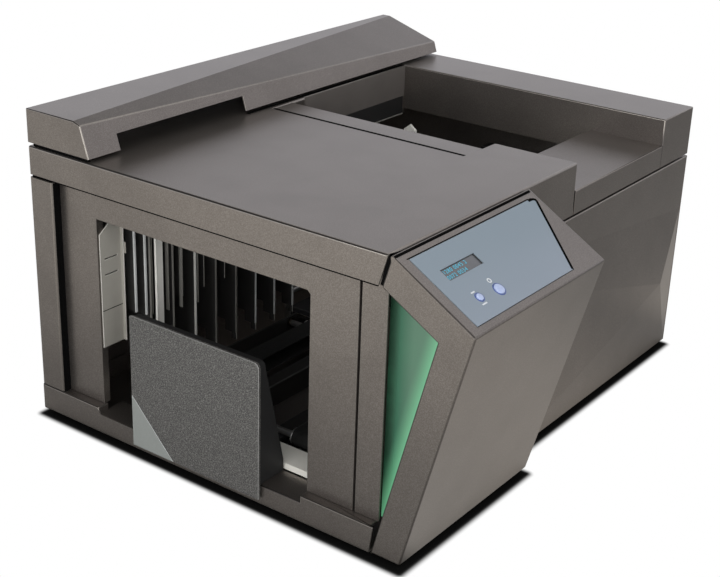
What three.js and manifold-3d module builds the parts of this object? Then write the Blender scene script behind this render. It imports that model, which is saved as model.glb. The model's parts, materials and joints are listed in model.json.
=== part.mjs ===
// A desktop thermal binding machine in folded sheet steel.
// Documents stand on their spines in the hopper at the rear, a pusher moves them over the heated plate,
// and two belts carry them forward through the window, where they lean against the output stop.
// Lengths are in millimetres: x runs right along the window face, y runs back from it, z is up.
import * as THREE from "three";
import { mergeVertices } from "three/addons/utils/BufferGeometryUtils.js";
import Module from "manifold-3d";

const wasm = await Module();
wasm.setup();

// Sheet and clearances
const sheet = 2;
const thinSheet = 1.5;
const seamGap = 3; // shadow gap between two outer covers
const coverJoint = 1; // hairline joint between the two top covers
const seatGap = 0.3; // between two pieces that touch
const boreGap = 0.1; // between a shaft and its bore
const overrun = 1; // how far a cut runs past what it cuts
const cleanUp = 0.02; // joined faces closer than this become one

// Outer body
const body = { width: 513, depth: 701, height: 343 };
const foot = { height: 8, radius: 14, neckRadius: 11, flare: 2, inset: 45, sides: 24 };
const lip = {
  height: 33.5,
  lowHeight: 25,
  cornerCut: 4,
  endInset: 9.5,
  endLean: 4.5,
  flangeDepth: 16,
  shelfDepth: 42,
};
const tray = { upstand: 25 };
const cover = { frontSkirt: 35, sideSkirt: 65, frontDepth: 379, mitre: 10.5, cornerRelief: 23 };
const guideStrip = { from: 108, rightInset: 113, lead: 70, depth: 43, drop: 69, sunk: 0.8, lineGap: 3.5 };
const hopper = { leftInset: 104, rightInset: 107, beamDepth: 86, wallDrop: 70, beamDrop: 64, shelfDrop: 35 };
const post = { width: 37, returnDepth: 11, rise: 27 };
const panel = { recess: 12, bottomGap: 1, returnDepth: 8 };
const portal = { left: 96, rightInset: 103, drop: 71, corner: 4, panelInset: 41 };
const pillar = { sideGap: 6, tuck: 13 };
const facet = { front: 28, creaseFoot: 262, peakInset: 55, peakZ: 114, peakOut: 8, rearCrease: 208 };

// Raised cover on the left of the top
const bar = {
  width: 101,
  height: 40.6,
  gap: 3.9,
  nearCrease: 78,
  nearShoulder: 89,
  farCrease: 12.6,
  farShoulder: 96,
  farShoulderDrop: 25.5,
  notchFrom: 50,
  notchTo: 268,
  notchHeight: 18.4,
  notchReach: 25,
};
const hinge = {
  inset: 8,
  rise: 12,
  pinRadius: 3,
  eyeRadius: 5.2,
  pinLength: 22,
  eyeWidth: 8,
  armReach: 12,
  armWidth: 6,
  armDrop: 5,
  footLength: 20,
  footThickness: 2.5,
  lugWidth: 4,
  lugGap: 0.6,
  frontPlace: 70,
  rearInset: 61,
  sides: 16,
};

// Control housing, folded like a ">"
const housing = {
  depth: 260,
  topOut: 4,
  noseOut: 103.4,
  noseDrop: 57.4,
  footOut: 30.7,
  footLift: 1,
  innerFootIn: 7,
  innerNoseOut: 61,
  innerNoseDrop: 75,
  innerTopIn: 6.5,
  bodyGap: 1,
  returnDepth: 22,
  bodyReturn: 11,
  skin: 3,
  flange: 32,
};
const overlay = {
  top: 11,
  bottom: 105.5,
  front: 15,
  rearTop: 253,
  rearBottom: 203,
  cornerCut: 6,
  thickness: 1,
  pocket: 1.2,
};
const display = { top: 36.8, height: 14, front: 37.4, length: 60, sunk: 1.6, rim: 5, moduleDepth: 7 };
const startKey = { down: 83.3, back: 84, radius: 6.3, rimRadius: 8 };
const stopKey = { down: 80.5, back: 51.4, radius: 4.3, rimRadius: 5.8 };
const key = { proud: 1, domeRise: 1, collar: 1.5, travel: 1.5, rest: 0.2, sides: 24, stemShare: 0.7 };
const board = {
  thickness: 1.6,
  switchHeight: 1.4,
  switchSide: 6,
  top: 22,
  bottom: 104,
  front: 22,
  length: 112,
  depth: 14,
  postRadius: 3,
  postInset: 5,
};
const light = { thickness: 3, overlap: 6, ledThickness: 1.6, ledDepth: 12, footShare: 0.25, headShare: 0.96 };

// Inside the window
const sidePlate = {
  front: 14,
  rear: 48,
  bottom: 116,
  drop: 66,
  frontDrop: 91,
  edge: 6,
  slotHeight: 1.6,
  slotLength: 20,
  slotDrop: 122,
  slotPitch: 20,
};
const comb = {
  outer: 70,
  inner: 111,
  front: 62,
  railDrop: 33,
  railHeight: 18,
  firstFin: 80,
  lastInset: 26,
  fins: 8,
  finFoot: 51,
  toeWidth: 8,
  stepWidth: 11,
  toeStep: 9,
  heelStep: 24,
  shortFrom: 97,
  shortTo: 108,
  shortFoot: 145,
  hangerWidth: 20,
  hangerReach: 18,
  tail: 4,
};
const whiteGuide = { y: 88, width: 13, foot: 62, stand: 1.5 };
const frame = { inset: 122, front: 62, rearInset: 85, height: 45, heaterGap: 8, flange: 10 };
const belt = {
  shaftFront: 93,
  shaftLead: 45,
  shaftZ: 46,
  shaftRadius: 4,
  pulleyRadius: 9,
  rimRadius: 10,
  rimWidth: 1.5,
  pulleyWidth: 35,
  centreShare: 0.171,
  thickness: 1.2,
  width: 30,
  sides: 20,
};
const outputFloor = { front: 44, rear: 78, rise: 8, slotWidth: 23 };
const bearing = { radius: 7, width: 5, sides: 20 };

// Output stop
const stopPlate = {
  leftGap: 65.5,
  rightGap: 54.5,
  bottom: 16.5,
  top: 185,
  reach: 5.5,
  thickness: 3.7,
  corner: 7,
  cornerSteps: 5,
};
const stopBody = {
  depth: 9.5,
  inset: 1.5,
  lift: 0.6,
  gusset: 40,
  gussetKnee: 15,
  gussetTop: 8,
  wall: 3,
  foot: 3,
};
const stopCorner = { width: 65, height: 67, sunk: 0.8, slit: 0.4 };
const slideBar = { width: 15, height: 5, shaftGap: 4, centreShare: 0.33 };
const slideGuide = { from: 102, wall: 3, clearance: 0.3, web: 2 };

// Drive, heater and pusher
const heater = { lead: 23, endGap: 18, inset: 2, top: 57.8, plate: 8, pad: 3, trayWall: 2 };
const drive = {
  pulleyGap: 32,
  pulleyWidth: 12,
  shaftPulleyRadius: 14,
  motorPulleyRadius: 7,
  motorSpan: 106,
  motorGap: 8,
  motorLength: 58,
  motorRadius: 21,
  bracketThickness: 3,
  bracketHalf: 26,
  shaftRadius: 3,
  beltThickness: 1.2,
  beltWidth: 9,
  bossRadius: 8,
};
const rail = { startGap: 6, outset: 8, z: 73, radius: 4, endThickness: 6, endHalf: 5.5, sides: 16 };
const pusher = {
  setBack: 8,
  bottom: 61,
  top: 205,
  thickness: 3,
  carriage: 19,
  carriageHalf: 8,
  armHeight: 8,
  armRise: 16,
};
const handle = { x: 136.3, width: 20, rise: 69.6, tip: 7.7, seat: 20, thickness: 4 };
const supply = {
  sideGap: 11,
  motorGap: 54,
  rearInset: 31,
  width: 72,
  height: 62,
  slots: 8,
  slotShare: 0.5,
  slotDeep: 3,
};

// Rear
const fan = {
  x: 250,
  z: 190,
  side: 92,
  depth: 25,
  bore: 43,
  hub: 17,
  blades: 7,
  bladeThickness: 2,
  bladeGap: 1.5,
  bladePitch: 0.7,
  chord: 22,
  sides: 32,
  spokes: 3,
  spokeWidth: 4,
  shaftRadius: 3,
};
const vent = { rows: 7, width: 80, height: 4, pitch: 10 };
const inlet = {
  sideInset: 58,
  z: 118,
  width: 28,
  height: 20,
  depth: 22,
  flange: 3,
  lipDepth: 2.5,
  socket: 15,
  wall: 2.5,
};
const rocker = { inletGap: 50, width: 12, height: 18, depth: 15, tilt: 8, axisDepth: 3, proud: 1.2, wall: 2 };

// Places that follow from the sizes
const base = foot.height;
const top = base + body.height;
const skirtEdge = top - cover.frontSkirt;
const sideEdge = top - cover.sideSkirt;
const sideTop = sideEdge - seamGap;
const lipTop = base + lip.height;
const shelfZ = base + lip.lowHeight;
const rearCover = cover.frontDepth + coverJoint;
const beamFront = body.depth - hopper.beamDepth;
const innerWall = sheet + seatGap;
const floorZ = base + sheet;
const panelBack = panel.recess + sheet;
const windowRight = body.width - portal.rightInset;
const windowTop = top - portal.drop;
const panelRight = body.width - portal.panelInset;
const pillarX = [panelRight + seamGap, body.width - pillar.sideGap];
const lowFrom = portal.left + sheet;
const skirtFront = housing.bodyReturn + sheet;
const peakY = body.depth - facet.peakInset;
const facetFall = bar.farShoulderDrop / (bar.farShoulder - bar.farCrease);
const nearShoulderDrop = facetFall * (bar.nearShoulder - bar.nearCrease);
const hopperX = [hopper.leftInset, body.width - hopper.rightInset];
const guideTo = body.width - guideStrip.rightInset;
const guideFront = cover.frontDepth - guideStrip.lead;
const hingePlaces = [hinge.frontPlace, body.depth - hinge.rearInset];
const noseX = body.width + housing.noseOut;
const railTop = top - comb.railDrop;
const railBottom = railTop - comb.railHeight;
const finPitch = (cover.frontDepth - comb.lastInset - comb.firstFin) / (comb.fins - 1);
const frameLeft = frame.inset;
const frameRight = body.width - frame.inset;
const frameRear = body.depth - frame.rearInset;
const shaftRear = cover.frontDepth - belt.shaftLead;
const frameSpan = frameRight - frameLeft;
const alongShafts = (share) => [frameLeft + share * frameSpan, frameRight - share * frameSpan];
const pulleyCentres = alongShafts(belt.centreShare);
const barCentres = alongShafts(slideBar.centreShare);
const slideEnd = shaftRear - slideBar.shaftGap;
const stopLeft = portal.left + stopPlate.leftGap;
const stopRight = windowRight - stopPlate.rightGap;
const stopFront = -stopPlate.reach;
const stopBack = stopFront + stopPlate.thickness;
const heaterX = [hopperX[0] + heater.inset, hopperX[1] - heater.inset];
const heaterY = [cover.frontDepth - heater.lead, frameRear - heater.endGap];
const padTop = heater.top - heater.plate - seatGap;
const trayFloor = padTop - heater.pad - seatGap;
const railX = [hopperX[0] - rail.outset, hopperX[1] + rail.outset];
const pusherY = heaterY[1] - pusher.setBack;
const pulleyFrom = frameRight + drive.pulleyGap;
const motorFrom = pulleyFrom + drive.pulleyWidth + drive.motorGap;
const motorY = shaftRear + drive.motorSpan;
const inletX = body.width - inlet.sideInset;
const rockerX = inletX - rocker.inletGap;

// The three mappings from a flat outline to a prism along x, y or z
const prismBases = {
  x: [new THREE.Vector3(0, 1, 0), new THREE.Vector3(0, 0, 1), new THREE.Vector3(1, 0, 0)],
  y: [new THREE.Vector3(1, 0, 0), new THREE.Vector3(0, 0, 1), new THREE.Vector3(0, -1, 0)],
  z: [new THREE.Vector3(1, 0, 0), new THREE.Vector3(0, 1, 0), new THREE.Vector3(0, 0, 1)],
};
const turnedBases = {
  x: [new THREE.Vector3(0, 0, 1), new THREE.Vector3(1, 0, 0), new THREE.Vector3(0, 1, 0)],
  y: [new THREE.Vector3(1, 0, 0), new THREE.Vector3(0, 1, 0), new THREE.Vector3(0, 0, 1)],
  z: [new THREE.Vector3(0, 1, 0), new THREE.Vector3(0, 0, 1), new THREE.Vector3(1, 0, 0)],
};

// A closed geometry as a solid that can be joined and cut
function solid(geometry) {
  const bare = geometry.index ? geometry.toNonIndexed() : geometry.clone();
  bare.deleteAttribute("normal");
  bare.deleteAttribute("uv");
  const merged = mergeVertices(bare);
  return new wasm.Manifold(
    new wasm.Mesh({
      numProp: 3,
      vertProperties: merged.attributes.position.array,
      triVerts: new Uint32Array(merged.index.array),
    }),
  );
}

const join = (...solids) => solids.reduce((all, one) => all.add(one));
const cut = (from, ...cutters) => cutters.reduce((left, one) => left.subtract(one), from);

function block([x0, x1], [y0, y1], [z0, z1]) {
  const geometry = new THREE.BoxGeometry(x1 - x0, y1 - y0, z1 - z0);
  geometry.translate((x0 + x1) / 2, (y0 + y1) / 2, (z0 + z1) / 2);
  return solid(geometry);
}

const outlineShape = (points) => new THREE.Shape(points.map(([u, v]) => new THREE.Vector2(u, v)));

// An outline in the plane across the axis, run from one place on the axis to another
function prismGeometry(axis, points, from, to, holes = []) {
  const shape = outlineShape(points);
  shape.holes = holes.map(outlineShape);
  const geometry = new THREE.ExtrudeGeometry(shape, { depth: to - from, bevelEnabled: false });
  const start = new THREE.Vector3(axis === "x" ? from : 0, axis === "y" ? to : 0, axis === "z" ? from : 0);
  const matrix = new THREE.Matrix4().makeBasis(...prismBases[axis]).setPosition(start);
  return geometry.applyMatrix4(matrix);
}

const prism = (...args) => solid(prismGeometry(...args));

// A regular polygon that stands in for a circle
function circle([u, v], radius, sides) {
  return Array.from({ length: sides }, (_, i) => {
    const angle = (2 * Math.PI * (i + 1 / 2)) / sides;
    return [u + radius * Math.cos(angle), v + radius * Math.sin(angle)];
  });
}

// A profile of [radius, height] pairs turned about an axis through a place
function turnedGeometry(axis, profile, place, sides) {
  const geometry = new THREE.LatheGeometry(outlineShape(profile).getPoints(), sides);
  const matrix = new THREE.Matrix4().makeBasis(...turnedBases[axis]).setPosition(...place);
  return geometry.applyMatrix4(matrix);
}

const turned = (...args) => solid(turnedGeometry(...args));

function disc(axis, place, radius, length, sides) {
  return turned(axis, [[0, 0], [radius, 0], [radius, length], [0, length]], place, sides);
}

// A rounded rectangle, with one radius for each corner, counted from the lower left
function roundedOutline([x0, x1], [z0, z1], radii, steps) {
  const corners = [
    [x0, z0, 1, 1],
    [x1, z0, -1, 1],
    [x1, z1, -1, -1],
    [x0, z1, 1, -1],
  ];
  return corners.flatMap(([x, z, sx, sz], corner) => {
    const radius = radii[corner];
    if (radius === 0) return [[x, z]];
    return Array.from({ length: steps + 1 }, (_, i) => {
      const angle = Math.PI * (1 + corner / 2 + i / (2 * steps));
      return [x + sx * radius + radius * Math.cos(angle), z + sz * radius + radius * Math.sin(angle)];
    });
  });
}

// A solid between two outlines of as many points, one at each end along y
function loft(near, far, nearY, farY) {
  const positions = [];
  const put = (...corners) => corners.forEach((corner) => positions.push(...corner));
  const at = (points, y) => points.map(([x, z]) => [x, y, z]);
  const first = at(near, nearY);
  const last = at(far, farY);
  near.forEach((_, i) => {
    const j = (i + 1) % near.length;
    put(first[i], last[i], first[j]);
    put(first[j], last[i], last[j]);
  });
  const caps = (points) =>
    THREE.ShapeUtils.triangulateShape(points.map(([x, z]) => new THREE.Vector2(x, z)), []);
  caps(near).forEach(([a, b, c]) => put(first[a], first[b], first[c]));
  caps(far).forEach(([a, b, c]) => put(last[a], last[c], last[b]));
  const geometry = new THREE.BufferGeometry();
  geometry.setAttribute("position", new THREE.Float32BufferAttribute(positions, 3));
  return solid(geometry);
}

// Base tray: floor with upstands, and a front lip that steps down across the window
function baseTray() {
  const lipRight = body.width - lip.endInset;
  const lipFace = prism(
    "y",
    [
      [0, base],
      [lipRight, base],
      [lipRight + lip.endLean, lipTop],
      [windowRight, lipTop],
      [windowRight, shelfZ],
      [lowFrom + lip.cornerCut, shelfZ],
      [lowFrom, shelfZ + lip.cornerCut],
      [lowFrom, lipTop],
      [0, lipTop],
    ],
    0,
    sheet,
  );
  const left = innerWall;
  const right = body.width - innerWall;
  const rear = body.depth - innerWall;
  const sideRise = [base, base + tray.upstand];
  return join(
    block([left, lipRight], [0, skirtFront + sheet], [base, floorZ]),
    block([left, right], [skirtFront, rear], [base, floorZ]),
    lipFace,
    block([left, lowFrom], [0, lip.flangeDepth], [lipTop - sheet, lipTop]),
    block([windowRight, lipRight], [0, lip.flangeDepth], [lipTop - sheet, lipTop]),
    block([lowFrom - sheet, lowFrom], [0, lip.flangeDepth], [shelfZ - sheet, lipTop]),
    block([windowRight, windowRight + sheet], [0, lip.flangeDepth], [shelfZ - sheet, lipTop]),
    block([lowFrom - sheet, windowRight + sheet], [0, lip.shelfDepth], [shelfZ - sheet, shelfZ]),
    block([lowFrom, windowRight], [lip.shelfDepth - sheet, lip.shelfDepth], [base, shelfZ]),
    block([left, left + sheet], [lip.shelfDepth, rear], sideRise),
    block([right - sheet, right], [lip.shelfDepth, rear], sideRise),
    block([left, right], [rear - sheet, rear], sideRise),
  );
}

// Left side panel: a flat side, a front post folded round to the window face, and a top flange
function leftSidePanel() {
  const postTop = sideTop + post.rise + seamGap;
  const postBottom = lipTop + panel.bottomGap;
  const front = sheet + seatGap;
  return join(
    block([0, sheet], [front, body.depth - innerWall], [base, sideTop]),
    block([0, sheet], [0, cover.cornerRelief - seamGap], [postBottom, postTop]),
    block([0, post.width], [0, sheet], [postBottom, postTop]),
    block([post.width - sheet, post.width], [0, post.returnDepth], [postBottom, postTop]),
    block([0, post.returnDepth], [cover.cornerRelief, body.depth - innerWall], [sideTop - sheet, sideTop]),
  );
}

// Right side panel: a sheet pressed out to one peak, so that it breaks into flat facets,
// with a front edge folded in behind the pillar
function rightSidePanel() {
  const front = facet.front;
  const rear = body.depth - innerWall;
  const corners = [
    [0, front, base],
    [0, facet.creaseFoot, base],
    [0, rear, base],
    [facet.peakOut, peakY, facet.peakZ],
    [0, rear, facet.rearCrease],
    [0, rear, sideTop],
    [0, front, sideTop],
  ];
  const facets = [[0, 1, 6], [1, 3, 6], [3, 4, 6], [4, 5, 6], [1, 2, 3], [2, 4, 3]];
  const rim = [0, 1, 2, 4, 5, 6];
  const outer = corners.map(([out, y, z]) => [body.width + out, y, z]);
  const inner = corners.map(([out, y, z]) => [body.width + out - sheet, y, z]);
  const positions = [];
  const put = (...points) => points.forEach((point) => positions.push(...point));
  facets.forEach(([a, b, c]) => {
    put(outer[a], outer[b], outer[c]);
    put(inner[a], inner[c], inner[b]);
  });
  rim.forEach((a, i) => {
    const b = rim[(i + 1) % rim.length];
    put(outer[a], inner[a], outer[b]);
    put(outer[b], inner[a], inner[b]);
  });
  const geometry = new THREE.BufferGeometry();
  geometry.setAttribute("position", new THREE.Float32BufferAttribute(positions, 3));
  const returnZ = [lipTop + panel.bottomGap, sideTop];
  const inside = body.width - sheet / 2;
  const tucked = pillarX[1] - pillar.tuck;
  return join(
    solid(geometry),
    block([tucked, inside], [front, front + sheet], returnZ),
    block([tucked, tucked + sheet], [panelBack + seatGap, front + sheet], returnZ),
    block([body.width - post.returnDepth, inside], [front, rear], [sideTop - sheet, sideTop]),
  );
}

// Front panel: a portal round the window, with its inner edges folded back
function frontPanel() {
  const bottom = lipTop + seatGap;
  const panelTop = top - sheet - seatGap;
  const left = sheet + seamGap;
  const { left: windowLeft, corner } = portal;
  const face = [
    [left, bottom],
    [windowLeft, bottom],
    [windowLeft, windowTop],
    [windowRight - corner, windowTop],
    [windowRight, windowTop - corner],
    [windowRight, bottom],
    [panelRight, bottom],
    [panelRight, panelTop],
    [left, panelTop],
  ];
  const back = [panel.recess, panelBack + panel.returnDepth];
  return join(
    prism("y", face, panel.recess, panelBack),
    block([windowLeft - sheet, windowLeft], back, [bottom, windowTop + sheet]),
    block([windowRight, windowRight + sheet], back, [bottom, windowTop + sheet]),
    block([windowLeft - sheet, windowRight + sheet], back, [windowTop, windowTop + sheet]),
    block([panelRight - sheet, panelRight], back, [bottom, panelTop]),
  );
}

// Right pillar: a narrow folded channel beside the window panel
function rightPillar() {
  const rise = [lipTop + seatGap, top - sheet - seatGap];
  const back = [panel.recess, panelBack + panel.returnDepth];
  return join(
    block(pillarX, [panel.recess, panelBack], rise),
    block([pillarX[0], pillarX[0] + sheet], back, rise),
  );
}

// Rear panel with the fan grille, vent rows, and the inlet's and switch's openings
function rearPanel() {
  const ventRow = (x, z) =>
    block(
      [x - vent.width / 2, x + vent.width / 2],
      [body.depth - sheet - overrun, body.depth + overrun],
      [z - vent.height / 2, z + vent.height / 2],
    );
  const rowZ = (i) => fan.z + (i - (vent.rows - 1) / 2) * vent.pitch;
  const rows = Array.from({ length: vent.rows }, (_, i) => ventRow(fan.x, rowZ(i)));
  const hole = (x, z, width, height) =>
    block(
      [x - width / 2 - seatGap, x + width / 2 + seatGap],
      [body.depth - sheet - overrun, body.depth + overrun],
      [z - height / 2 - seatGap, z + height / 2 + seatGap],
    );
  return cut(
    block([0, body.width], [body.depth - sheet, body.depth], [base, sideTop]),
    ...rows,
    hole(inletX, inlet.z, inlet.width, inlet.height),
    hole(rockerX, inlet.z, rocker.width + 2 * rocker.wall, rocker.height + 2 * rocker.wall),
  );
}

// Front top cover: top, mitred front skirt, side skirts and a notch for the hopper guide
function frontTopCover() {
  const rear = cover.frontDepth;
  const right = body.width;
  const topZ = [top - sheet, top];
  const plan = [
    [0, 0],
    [right, 0],
    [right, rear],
    [guideTo, rear],
    [guideTo, guideFront],
    [guideStrip.from, guideFront],
    [guideStrip.from, rear],
    [0, rear],
  ];
  const skirt = [
    [0, skirtEdge],
    [right - cover.mitre, skirtEdge],
    [right, top],
    [0, top],
  ];
  const rearFlange = [rear - sheet, rear];
  const rearFlangeZ = [top - hopper.shelfDrop + sheet, top];
  const besideHousing = housing.depth + seamGap;
  return join(
    prism("z", plan, ...topZ),
    prism("y", skirt, 0, sheet),
    block([0, sheet], [0, rear], [skirtEdge, top]),
    block([0, sheet], [cover.cornerRelief, rear], [sideEdge, top]),
    block([right - sheet, right], [skirtFront, rear], [skirtEdge, top]),
    block([right - sheet, right], [besideHousing, rear], [sideEdge, top]),
    block([guideTo, right], rearFlange, rearFlangeZ),
    block([0, guideStrip.from], rearFlange, rearFlangeZ),
    block([guideTo, guideTo + sheet], [guideFront, rear], rearFlangeZ),
    block([guideStrip.from - sheet, guideStrip.from], [guideFront, rear], rearFlangeZ),
  );
}

// Rear top cover: the hopper's left wall, the rear beam and the low shelf on the right
function rearTopCover() {
  const [left, right] = hopperX;
  const rear = body.depth;
  const shelfTop = top - hopper.shelfDrop;
  const beamWall = [beamFront, beamFront + sheet];
  return join(
    block([0, left], [rearCover, rear], [top - sheet, top]),
    block([0, body.width], [beamFront, rear], [top - sheet, top]),
    block([left - sheet, body.width], beamWall, [top - hopper.beamDrop, top]),
    block([left - sheet, left], [rearCover, beamWall[1]], [top - hopper.wallDrop, top]),
    block([right, body.width], [rearCover, beamWall[1]], [shelfTop - sheet, shelfTop]),
    block([right, right + sheet], [rearCover, beamWall[1]], [sideEdge, shelfTop]),
    block([right, body.width], [rearCover, rearCover + sheet], [sideEdge, shelfTop]),
    block([0, sheet], [rearCover, rear], [sideEdge, top]),
    block([body.width - sheet, body.width], [rearCover, rear], [sideEdge, shelfTop]),
    block([body.width - sheet, body.width], [beamFront, rear], [sideEdge, top]),
    block([0, body.width], [rear - sheet, rear], [sideEdge, top]),
  );
}

// Guide strip between the front cover and the hopper, folded down as the hopper's front wall
function hopperFrontGuide() {
  const z1 = top - guideStrip.sunk;
  const front = guideFront + guideStrip.lineGap;
  const rear = guideFront + guideStrip.depth;
  const right = guideTo - seatGap;
  return join(
    block([guideStrip.from + seatGap, right], [front, rear], [z1 - thinSheet, z1]),
    block([comb.inner + seatGap, right], [rear - thinSheet, rear], [z1 - guideStrip.drop, z1]),
  );
}

// Raised cover: a folded shell whose upper edge is a fold that runs from corner to corner
function barSection(crease, shoulder, shoulderDrop, inward) {
  const z0 = top + bar.gap;
  const z1 = z0 + bar.height - inward;
  const low = z0 - (inward ? overrun : 0);
  return [
    [inward, low],
    [bar.width - inward, low],
    [shoulder - inward, z1 - shoulderDrop],
    [crease - inward, z1],
    [inward, z1],
  ];
}

function raisedCover() {
  const near = (inward) => barSection(bar.nearCrease, bar.nearShoulder, nearShoulderDrop, inward);
  const far = (inward) => barSection(bar.farCrease, bar.farShoulder, bar.farShoulderDrop, inward);
  const shell = cut(
    loft(near(0), far(0), 0, body.depth),
    loft(near(sheet), far(sheet), sheet, body.depth - sheet),
    block(
      [bar.width - bar.notchReach, bar.width + overrun],
      [bar.notchFrom, bar.notchTo],
      [top, top + bar.gap + bar.notchHeight],
    ),
  );
  const [pinX, pinZ] = hingeAxis;
  const lugs = hingePlaces.flatMap((place) =>
    [-1, 1].map((side) => {
      const inner = hinge.eyeWidth / 2 + hinge.lugGap;
      const y0 = place + (side > 0 ? inner : -inner - hinge.lugWidth);
      const lug = [
        [sheet / 2, pinZ - hinge.eyeRadius],
        [pinX + hinge.eyeRadius, pinZ - hinge.eyeRadius],
        [pinX + hinge.eyeRadius, pinZ + hinge.eyeRadius],
        [sheet / 2, pinZ + 2 * hinge.eyeRadius],
      ];
      const bore = circle(hingeAxis, hinge.pinRadius + boreGap, hinge.sides);
      return prism("y", lug, y0, y0 + hinge.lugWidth, [bore]);
    }),
  );
  return join(shell, ...lugs);
}

// Where the raised cover's hinge pins lie, as [x, z]
const hingeAxis = [hinge.inset, top + hinge.rise];

// Hinge bracket: a foot on the top cover, a gooseneck arm, an eye and its pin
function hingeBracket(place) {
  const [pinX, pinZ] = hingeAxis;
  const z0 = top + seatGap;
  const armX = pinX + hinge.armReach;
  const half = hinge.eyeWidth / 2;
  const arm = [
    [pinX, pinZ - hinge.armDrop],
    [armX, pinZ - hinge.armDrop],
    [armX, z0],
    [armX + hinge.footLength, z0],
    [armX + hinge.footLength, z0 + hinge.footThickness],
    [armX + hinge.armWidth, z0 + hinge.footThickness],
    [armX + hinge.armWidth, pinZ + hinge.eyeRadius],
    [pinX, pinZ + hinge.eyeRadius],
  ];
  return join(
    prism("y", arm, place - half, place + half),
    prism("y", circle(hingeAxis, hinge.eyeRadius, hinge.sides), place - half, place + half),
    prism(
      "y",
      circle(hingeAxis, hinge.pinRadius, hinge.sides),
      place - hinge.pinLength / 2,
      place + hinge.pinLength / 2,
    ),
  );
}

// The control slope has axes of its own: s runs down it from the top edge, y stays, n stands out of it
const slopeTop = [body.width + housing.topOut, top];
const slopeRun = [housing.noseOut - housing.topOut, -housing.noseDrop];
const slopeLength = Math.hypot(...slopeRun);
const slopeAxes = new THREE.Matrix4()
  .makeBasis(
    new THREE.Vector3(slopeRun[0] / slopeLength, 0, slopeRun[1] / slopeLength),
    new THREE.Vector3(0, 1, 0),
    new THREE.Vector3(-slopeRun[1] / slopeLength, 0, slopeRun[0] / slopeLength),
  )
  .setPosition(slopeTop[0], 0, slopeTop[1]);
const onSlope = (geometry) => solid(geometry.applyMatrix4(slopeAxes));

// A line of the housing's profile moved sideways into it, for the inner face of a skin
function insetCorner([x0, z0], [x1, z1], [x2, z2], depth) {
  const normal = (ax, az, bx, bz) => {
    const length = Math.hypot(bx - ax, bz - az);
    return [(bz - az) / length, -(bx - ax) / length];
  };
  const [ux, uz] = normal(x0, z0, x1, z1);
  const [vx, vz] = normal(x1, z1, x2, z2);
  const spread = 1 + ux * vx + uz * vz;
  return [x1 + (depth * (ux + vx)) / spread, z1 + (depth * (uz + vz)) / spread];
}

const housingFoot = base + housing.footLift;
const outerProfile = {
  top: slopeTop,
  nose: [noseX, top - housing.noseDrop],
  foot: [body.width + housing.footOut, housingFoot],
};
const innerProfile = {
  top: [body.width - housing.innerTopIn, skirtEdge - coverJoint],
  nose: [body.width + housing.innerNoseOut, top - housing.innerNoseDrop],
  foot: [body.width - housing.innerFootIn, housingFoot],
};

// Control housing: front band, skin, returns round the opening, rear wall, floor and the slope's pockets
function controlHousing() {
  const { top: a, nose: b, foot: c } = outerProfile;
  const { top: f, nose: e, foot: d } = innerProfile;
  const bodySide = body.width + housing.bodyGap;
  const skinNose = insetCorner(a, b, c, housing.skin);
  const slopeNormal = [-slopeRun[1] / slopeLength, slopeRun[0] / slopeLength];
  const skinTop = [a[0] - slopeNormal[0] * housing.skin, a[1] - slopeNormal[1] * housing.skin];
  const flankRun = [c[0] - b[0], c[1] - b[1]];
  const flankLength = Math.hypot(...flankRun);
  const skinFoot = [c[0] + (flankRun[1] / flankLength) * housing.skin, c[1]];
  const returnNose = insetCorner(f, e, d, -sheet);
  const mitreRun = [a[0] - f[0], a[1] - f[1]];
  const mitreLength = Math.hypot(...mitreRun);
  const mitreIn = [(mitreRun[1] / mitreLength) * sheet, (-mitreRun[0] / mitreLength) * sheet];
  const band = prism("y", [a, f, e, d, c, b].reverse(), 0, sheet);
  const skin = prism("y", [a, skinTop, skinNose, skinFoot, c, b].reverse(), 0, housing.depth);
  const returns = prism(
    "y",
    [f, e, d, [d[0] + sheet, d[1]], returnNose, [f[0] + mitreIn[0], f[1] + sheet]],
    0,
    housing.returnDepth,
  );
  const mitre = prism(
    "y",
    [f, [f[0] + mitreIn[0], f[1] + mitreIn[1]], [a[0] + mitreIn[0], a[1] + mitreIn[1]], a],
    0,
    housing.bodyReturn,
  );
  const bulge = (facet.peakOut * (housing.depth - facet.front)) / (peakY - facet.front);
  const rearSide = body.width + bulge + seatGap;
  const wallOutline = [[bodySide, housingFoot], c, b, a, [bodySide, a[1]]];
  const rearWall = cut(
    prism("y", wallOutline, housing.depth - sheet, housing.depth),
    block([0, rearSide], [housing.depth - sheet - overrun, housing.depth + overrun], [0, top + overrun]),
  );
  const topFlange = block([a[0] - sheet, a[0]], [0, housing.depth], [a[1] - housing.flange, a[1] - sheet]);
  const floor = block([bodySide, c[0]], [0, housing.depth], [housingFoot, housingFoot + sheet]);
  const bodyCut = block(
    [0, bodySide],
    [housing.bodyReturn, housing.depth + overrun],
    [0, top - sheet],
  );
  const posts = boardCorners.map(([s, y]) =>
    onSlope(
      prismGeometry(
        "z",
        circle([s, y], board.postRadius, hinge.sides),
        -board.depth + seatGap,
        -housing.skin / 2,
      ),
    ),
  );
  const pocketFloor = -overlay.pocket;
  const pocket = onSlope(prismGeometry("z", overlayOutline(-seatGap), pocketFloor, overrun));
  const through = [-housing.skin - overrun, overrun];
  const windowCut = onSlope(prismGeometry("z", displayOutline(seatGap), ...through));
  const keyCuts = [startKey, stopKey].map((place) =>
    onSlope(
      prismGeometry("z", circle([place.down, place.back], place.radius + seatGap, key.sides), ...through),
    ),
  );
  const shell = join(band, skin, returns, mitre, rearWall, topFlange, floor);
  return cut(join(cut(shell, bodyCut), ...posts), pocket, windowCut, ...keyCuts);
}

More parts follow.
